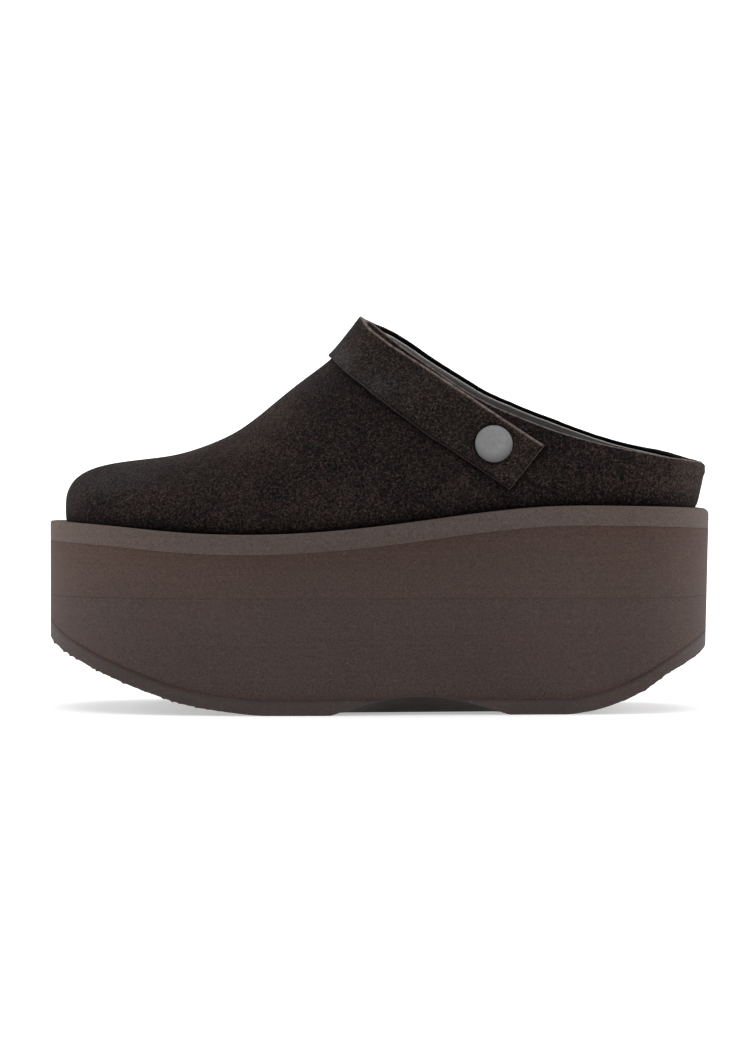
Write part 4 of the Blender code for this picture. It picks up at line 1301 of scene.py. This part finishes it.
def build_platform():
    steps = 300
    seam = 0.03

    def top_round(x):
        return 0.75 + 1.7 * smooth_step(118, 133, x)
    ease = ease_top(top_round)

    def foam_fields(level):
        def fields(p):
            x, y, z = p[:, 0], p[:, 1], p[:, 2]
            below = sole_top(x) - TOP_SHEET - z
            tone = np.ones(len(p))
            warm = np.zeros(len(p))
            if level == "top":
                tone = 1.13 + 0.02 * noise3(x / 18, y / 18, z / 6, 71)
            elif level == "upper":
                band = np.exp(-np.maximum(below, 0) / 9.0)
                tone = 1.0 - 0.07 * band
                warm = 0.55 * band
            else:
                down = smooth_step(46, 6, z)
                tone = 0.985 - 0.045 * down
                near = z - outsole_top(x)
                line = np.exp(-(np.maximum(near, 0) / 0.9) ** 2)
                tone -= 0.10 * line
                warm = 0.45 * line
            # painted shade: the platform darker along the middle of its length than at toe and heel
            tone = tone * (1 - 0.15 * np.exp(-((x - 5) / 72) ** 2))
            tone += 0.035 * noise3(x / 40, y / 40, z / 22, 72)
            return {"tone": tone, "warm": np.clip(warm, 0, 1)}
        return fields
    top = lambda x, d: sole_top(x)
    top_low = lambda x, d: sole_top(x) - TOP_SHEET + seam
    rings = [(20.0, 0.999, top, None), (20.0, 0.5, top, None), (18.0, 0.0, top, None), (9.0, 0.0, top, None), (3.2, 0.0, top, None)]
    rings += [(0.0, 0.0, top, ease(s)) for s in np.linspace(1, 0, 7)[::-1][:0]]
    for s in np.linspace(0, 1, 7)[::-1]:
        rings.append((0.0, 0.0, top, ease(1 - s)))
    rings = rings[:5] + [(0.0, 0.0, top, ease(s)) for s in (1.0, 0.84, 0.67, 0.5, 0.33, 0.16, 0.0)]
    for share in (0.3, 0.55, 0.8):
        rings.append((0.0, 0.0, (lambda k: lambda x, d: sole_top(x) - 2.45 - (TOP_SHEET - 2.45) * k)(share), None))
    rings += [(0.0, 0.0, lambda x, d: top_low(x, d) + 0.10, None), (0.08, 0.0, top_low, None),
              (9.0, 0.0, top_low, None), (20.0, 0.0, top_low, None), (20.0, 0.999, top_low, None)]
    pieces = [("midsole_top", block("platform_top", steps, rings, MATS["foam_top"], foam_fields("top")))]

    head = lambda x, d: sole_top(x) - TOP_SHEET - seam
    foot = lambda x, d: np.full_like(x, GLUE_LINE_Z + seam)
    rings = [(20.0, 0.999, head, None), (20.0, 0.0, head, None), (9.0, 0.0, head, None), (0.08, 0.0, head, None),
             (0.0, 0.0, lambda x, d: head(x, d) - 0.10, None)]
    for share in (0.15, 0.35, 0.6, 0.85):
        rings.append((0.0, 0.0, (lambda k: lambda x, d: head(x, d) * (1 - k) + foot(x, d) * k)(share), None))
    rings += [(0.0, 0.0, lambda x, d: foot(x, d) + 0.08, None), (0.06, 0.0, foot, None), (20.0, 0.0, foot, None), (20.0, 0.999, foot, None)]
    pieces.append(("midsole_upper", block("platform_upper", steps, rings, MATS["foam_upper"], foam_fields("upper"))))

    head2 = lambda x, d: np.full_like(x, GLUE_LINE_Z - seam)
    joint = lambda x, d: np.maximum(outsole_top(x), scoop(x, d) + 0.35)
    base2 = lambda x, d: joint(x, d) + seam
    rings = [(20.0, 0.999, head2, None), (20.0, 0.0, head2, None), (0.06, 0.0, head2, None), (0.0, 0.0, lambda x, d: head2(x, d) - 0.08, None)]
    for share in (0.2, 0.5, 0.8, 0.93):
        rings.append((0.0, 0.0, (lambda k: lambda x, d: head2(x, d) * (1 - k) + base2(x, d) * k)(share), None))
    rings += [(0.0, 0.0, lambda x, d: base2(x, d) + 0.10, None), (0.08, 0.0, base2, None)]
    rings += [(e, 0.0, base2, None) for e in (1.0, 2.0, 3.5, 5.0, 7.0, 9.0, 11.5, 15.0, SCOOP_DEPTH)]
    rings += [(20.0, 0.5, base2, None), (20.0, 0.999, base2, None)]
    pieces.append(("midsole_lower", block("platform_lower", steps, rings, MATS["foam_lower"], foam_fields("lower"))))

    # rubber sheet with its ribs; its trimmed edge is left a little rough
    steps = 620

    def rubber_fields(p):
        x, y, z = p[:, 0], p[:, 1], p[:, 2]
        near = outsole_top(x) - z
        line = np.exp(-(np.maximum(near, 0) / 0.8) ** 2)
        warm = 0.75 * line * smooth_step(-60, -90, x) + 0.6 * line * smooth_step(84, 104, x) + 0.25 * line
        tone = 0.95 - 0.10 * line + 0.08 * noise3(x / 15, y / 15, z / 5, 81)
        inside = sole_half(x) * rounding(x, SOLE_TOE_X, SOLE_HEEL_X, TOE_ROUND, HEEL_ROUND) - np.abs(y - sole_centre(x))
        # painted shade under the arch scoop: darker, warmer, darkest near the floor
        arch_shade = smooth_step(0.15, 1.2, scoop(x, 0.0)) * smooth_step(0.1, 1.0, inside) * smooth_step(SCOOP_DEPTH + 8, SCOOP_DEPTH, inside)
        tone = tone * (1 - arch_shade * (0.62 + 0.26 * smooth_step(4.5, 1.0, z)))
        warm = np.maximum(warm, 0.8 * arch_shade)
        tone = tone - 0.10 * smooth_step(-70, -110, x)
        return {"tone": tone, "warm": np.clip(warm, 0, 1)}

    def sole_face(x, d):
        plain = np.maximum(tread_z(x), scoop(x, d))
        return np.minimum(plain, joint(x, d) - 0.3)
    head3 = lambda x, d: joint(x, d) - seam
    rings = [(20.0, 0.999, head3, None)]
    rings += [(e, 0.0, head3, None) for e in (SCOOP_DEPTH, 15.0, 11.5, 9.0, 7.0, 5.0, 3.5, 2.0, 1.0, 0.08)]
    rings += [(0.0, 0.0, lambda x, d: head3(x, d) - 0.10, None)]
    for share in (0.3, 0.6, 0.85):
        rings.append((0.0, 0.0, (lambda k: lambda x, d: head3(x, d) * (1 - k) + sole_face(x, d) * k)(share), None))
    rings.append((0.0, 0.0, sole_face, None))
    rings += [(e, 0.0, sole_face, None) for e in (0.5, 1.4, 2.4, 3.5, 5.0, 7.0, 9.0, 11.5, 15.0, SCOOP_DEPTH)]
    rings += [(SCOOP_DEPTH, q, sole_face, None) for q in (0.15, 0.3, 0.45, 0.6, 0.75, 0.9, 0.999)]
    sole = block("outsole_sheet", steps, rings, MATS["rubber"], rubber_fields)
    co = np.empty(len(sole.data.vertices) * 3)
    sole.data.vertices.foreach_get("co", co)
    co = co.reshape(-1, 3) / MM
    x, y, z = co[:, 0], co[:, 1] - SHIFT_Y, co[:, 2]
    inside = sole_half(x) * rounding(x, SOLE_TOE_X, SOLE_HEEL_X, TOE_ROUND, HEEL_ROUND) - np.abs(y - sole_centre(x))
    on_face = np.exp(-(np.maximum(z - sole_face(x, 999.0), 0) / 0.35) ** 2) * (np.abs(z - outsole_top(x)) > 1.0)
    waist = smooth_step(0.4, 0.0, scoop(x, 0.0)) + smooth_step(SCOOP_DEPTH, SCOOP_DEPTH + 2, inside)
    groove = 0.55 * (1 - ribs(x, y)) * on_face * smooth_step(2.6, 4.6, inside) * np.clip(waist, 0, 1)
    slope = (tread_z(x + 0.5) - tread_z(x - 0.5))
    co[:, 2] = z + groove
    # small nubs of flash along the trimmed toe edge, fewer at the heel
    spots = np.zeros_like(x)
    for k in range(len(NUBS["x"])):
        at = np.where(y < sole_centre(x), NUBS["x"][k], NUBS["x"][k] + 2.3)
        spots = spots + NUBS["size"][k] * np.exp(-((x - at) / NUBS["half_width"][k]) ** 2)
    rough = spots + 0.13 * noise3(x / 1.1, y / 1.1, z / 1.1, 84) + 0.10 * noise3(x / 2.6, y / 2.6, z / 2.6, 85)
    zone = smooth_step(-56, -66, x) + smooth_step(84, 100, x)
    near_edge = np.exp(-(np.maximum(z - tread_z(x), 0) / 0.7) ** 2) * zone * smooth_step(3.0, 0.8, inside)
    keep_up = np.sqrt(1 + slope ** 2)
    co[:, 2] -= rough * near_edge / keep_up
    co[:, 0] += rough * near_edge * slope / keep_up
    co[:, 2] = np.maximum(co[:, 2], 0.0)
    sole.data.vertices.foreach_set("co", (co * MM).ravel())
    sole.data.update()
    pieces.append(("outsole", sole))
    return pieces


def build_insole():
    steps = 200
    seat_a, _ = side_loops(steps, -1)
    seat_b, _ = side_loops(steps, 1)
    edge = np.vstack([seat_a, seat_b[-2:0:-1]])[:, :2]
    ahead = np.roll(edge, -1, 0) - np.roll(edge, 1, 0)
    ahead /= np.linalg.norm(ahead, axis=1)[:, None]
    inward = np.stack([-ahead[:, 1], ahead[:, 0]], 1)
    line_x = 0.5 * (edge[:steps + 1, 0] + edge[:steps + 1, 0])
    line_x = line_x.mean() + (line_x - line_x.mean()) * 0.80
    line = np.stack([line_x, sole_centre(line_x)], 1)
    fold = np.vstack([line, line[-2:0:-1]])
    count = len(edge)
    rows = []

    def lay(inset, share, lift):
        outline = edge + inward * inset
        plan = outline + (fold - outline) * share
        dish = 0.9 * smooth_step(0.15, 1.0, share) + 0.0
        heel = 1.1 * smooth_step(45, 110, plan[:, 0]) * (1 - smooth_step(0.0, 0.55, share))
        ball = 0.35 * np.exp(-((plan[:, 0] + 62) / 26) ** 2) * smooth_step(0.1, 0.7, share)
        z = sole_top(plan[:, 0]) + 0.35 + (4.0 - dish + 0.0 * heel - ball) * (lift > 0) - (1 - min(lift, 1)) * 0.9 * (lift > 0)
        rows.append(np.stack([plan[:, 0], plan[:, 1], z], 1))
    inset = WALL + 0.42
    for share in (0.999, 0.8, 0.6, 0.4, 0.25, 0.12, 0.05):
        lay(inset, share, 1.0)
    for out_by, lift in ((0.9, 0.98), (0.35, 0.82), (0.08, 0.5), (0.0, 0.05)):
        lay(inset + out_by, 0.0, lift)
    lay(inset, 0.0, 0.0)
    lay(inset, 0.5, 0.0)
    lay(inset, 0.999, 0.0)
    grid = np.stack(rows)
    for end in (0, -1):
        grid[end][steps + 1:] = grid[end][steps - 1:0:-1]
    total = len(rows)
    index = np.arange(total * count).reshape(total, count)
    faces = []
    for end in (0, total - 1):
        index[end][steps + 1:] = index[end][steps - 1:0:-1]
    for r in range(total - 1):
        a, b = index[r], index[r + 1]
        for i in range(count):
            j = (i + 1) % count
            face = tuple(dict.fromkeys((int(a[i]), int(a[j]), int(b[j]), int(b[i]))))
            if len(face) > 2:
                faces.append(face)
    flat = grid.reshape(-1, 3)
    used = np.zeros(len(flat), bool)
    used[np.unique(np.concatenate([np.array(f) for f in faces]))] = True
    renumber = np.cumsum(used) - 1
    faces = [tuple(int(renumber[v]) for v in f) for f in faces]
    p = flat[used]
    tone = 1.0 + 0.08 * noise3(p[:, 0] / 22, p[:, 1] / 22, 0, 91)
    tone -= 0.16 * np.exp(-((p[:, 0] - 92) / 24) ** 2 - ((p[:, 1] + 1) / 17) ** 2)
    tone -= 0.10 * np.exp(-((p[:, 0] + 62) / 30) ** 2 - ((p[:, 1] - 2) / 26) ** 2)
    obj = make_piece("footbed", p, faces, {"tone": tone, "cut": np.zeros(len(p))})
    obj.data.materials.append(MATS["footbed"])
    return obj


# -------------------------------------------------------------- build it all
MATS = {
    # the last colour of each suede and leather is the lighter raw edge with a painted highlight
    "suede": suede_material("suede", (0.0092, 0.0076, 0.0082), (0.0160, 0.0124, 0.0120),
                            (0.058, 0.042, 0.037), (0.200, 0.158, 0.145)),
    "strap": suede_material("strap_suede", (0.0104, 0.0086, 0.0090), (0.0172, 0.0134, 0.0128),
                            (0.060, 0.044, 0.038), (0.210, 0.166, 0.152)),
    "lining": leather_material("lining", (0.120, 0.119, 0.120), (0.42, 0.395, 0.375)),
    "footbed": leather_material("footbed_leather", (0.095, 0.090, 0.088), (0.25, 0.24, 0.23)),
    "foam_top": foam_material("foam_top", (0.084, 0.065, 0.058), (0.089, 0.066, 0.057)),
    "foam_upper": foam_material("foam_upper", (0.072, 0.051, 0.045), (0.076, 0.052, 0.044)),
    "foam_lower": foam_material("foam_lower", (0.068, 0.050, 0.045), (0.072, 0.050, 0.044)),
    "rubber": rubber_material("outsole_rubber", (0.060, 0.0430, 0.0390)),
    "stud": stud_material("stud_coating", (0.222, 0.222, 0.226)),
}

shown = []
for node, piece in build_platform():
    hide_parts(node)
    shown.append(piece)
footbed = build_insole()
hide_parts("insole")
shown.append(footbed)
suede, lining = build_upper()
strap = build_strap()
studs = build_studs()
for side, word, cap, washer in studs:
    drill((suede, lining, strap), side)
    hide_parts("stud_cap_" + word)
    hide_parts("stud_washer_" + word)
    shown += [cap, washer]
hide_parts("upper")
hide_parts("strap")
shown += [suede, lining, strap]
for piece in shown:
    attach(piece, "root")


# ----------------------------------------------------------- floor and light
def make_floor():
    """One pale sheet: floor, a soft bend and a wall behind."""
    mesh = bpy.data.meshes.new("floor")
    bm = bmesh.new()
    rows = []
    for k in range(25):
        if k <= 4:
            y, z = -4.0 + 1.5 * k, 0.0
        else:
            a = 0.5 * math.pi * (k - 4) / 20
            y, z = 2.0 + 1.6 * math.sin(a), 1.6 * (1 - math.cos(a))
        rows.append((y, z))
    rows.append((3.6, 5.0))
    for y, z in rows:
        for x in (-7.0, 7.0):
            bm.verts.new((x, y, z))
    bm.verts.ensure_lookup_table()
    for k in range(len(rows) - 1):
        bm.faces.new((bm.verts[2 * k], bm.verts[2 * k + 1], bm.verts[2 * k + 3], bm.verts[2 * k + 2]))
    bm.to_mesh(mesh)
    bm.free()
    mesh.shade_smooth()
    floor = bpy.data.objects.new("floor", mesh)
    bpy.context.scene.collection.objects.link(floor)
    mat, tree, shader = material("floor_white")
    shader.inputs["Base Color"].default_value = (0.74, 0.74, 0.74, 1.0)
    shader.inputs["Roughness"].default_value = 0.9
    shader.inputs["Specular IOR Level"].default_value = 0.05
    # the wall behind is lit up to plain white
    g = Graph(tree)
    parts = tree.nodes.new("ShaderNodeSeparateXYZ")
    g.link(g.coord, parts.inputs[0])
    shader.inputs["Emission Color"].default_value = (1.0, 1.0, 1.0, 1.0)
    g.link(g.span(parts.outputs["Y"], 0.10, 1.6, 0.42, 0.95, True), shader.inputs["Emission Strength"])
    floor.data.materials.append(mat)
    return floor


def area(name, place, aim, width, height, power):
    light = bpy.data.lights.new(name, 'AREA')
    light.shape = 'RECTANGLE'
    light.size, light.size_y = width, height
    light.energy = power
    obj = bpy.data.objects.new(name, light)
    obj.location = place
    obj.rotation_euler = (Vector(aim) - Vector(place)).to_track_quat('-Z', 'Y').to_euler()
    bpy.context.scene.collection.objects.link(obj)
    return obj


make_floor()
world = bpy.data.worlds.new("studio")
bpy.context.scene.world = world
world.use_nodes = True
world.node_tree.nodes["Background"].inputs["Color"].default_value = (1.0, 1.0, 1.0, 1.0)
world.node_tree.nodes["Background"].inputs["Strength"].default_value = 0.29
area("top", (0.0, -0.1, 1.7), (0.0, 0.0, 0.0), 2.2, 1.8, 20.0)
area("left", (-1.5, 0.10, 0.60), (0.0, 0.0, 0.06), 1.2, 1.1, 12.5)
area("right", (1.5, 0.10, 0.60), (0.0, 0.0, 0.06), 1.2, 1.1, 16.0)
area("front", (0.0, -2.3, 1.3), (0.0, 0.0, 0.05), 2.0, 1.0, 3.0)

camera = bpy.data.cameras.new("camera")
camera.lens = 130.58
camera.sensor_width = 36.0
camera.sensor_height = 36.0
camera.clip_start, camera.clip_end = 0.05, 50.0
view = bpy.data.objects.new("camera", camera)
view.location = (-0.0015, -1.56, 0.109)
view.rotation_euler = (math.radians(90.0 - 1.249), 0.0, 0.0)
bpy.context.scene.collection.objects.link(view)
bpy.context.scene.camera = view
bpy.context.scene.view_settings.view_transform = 'Standard'
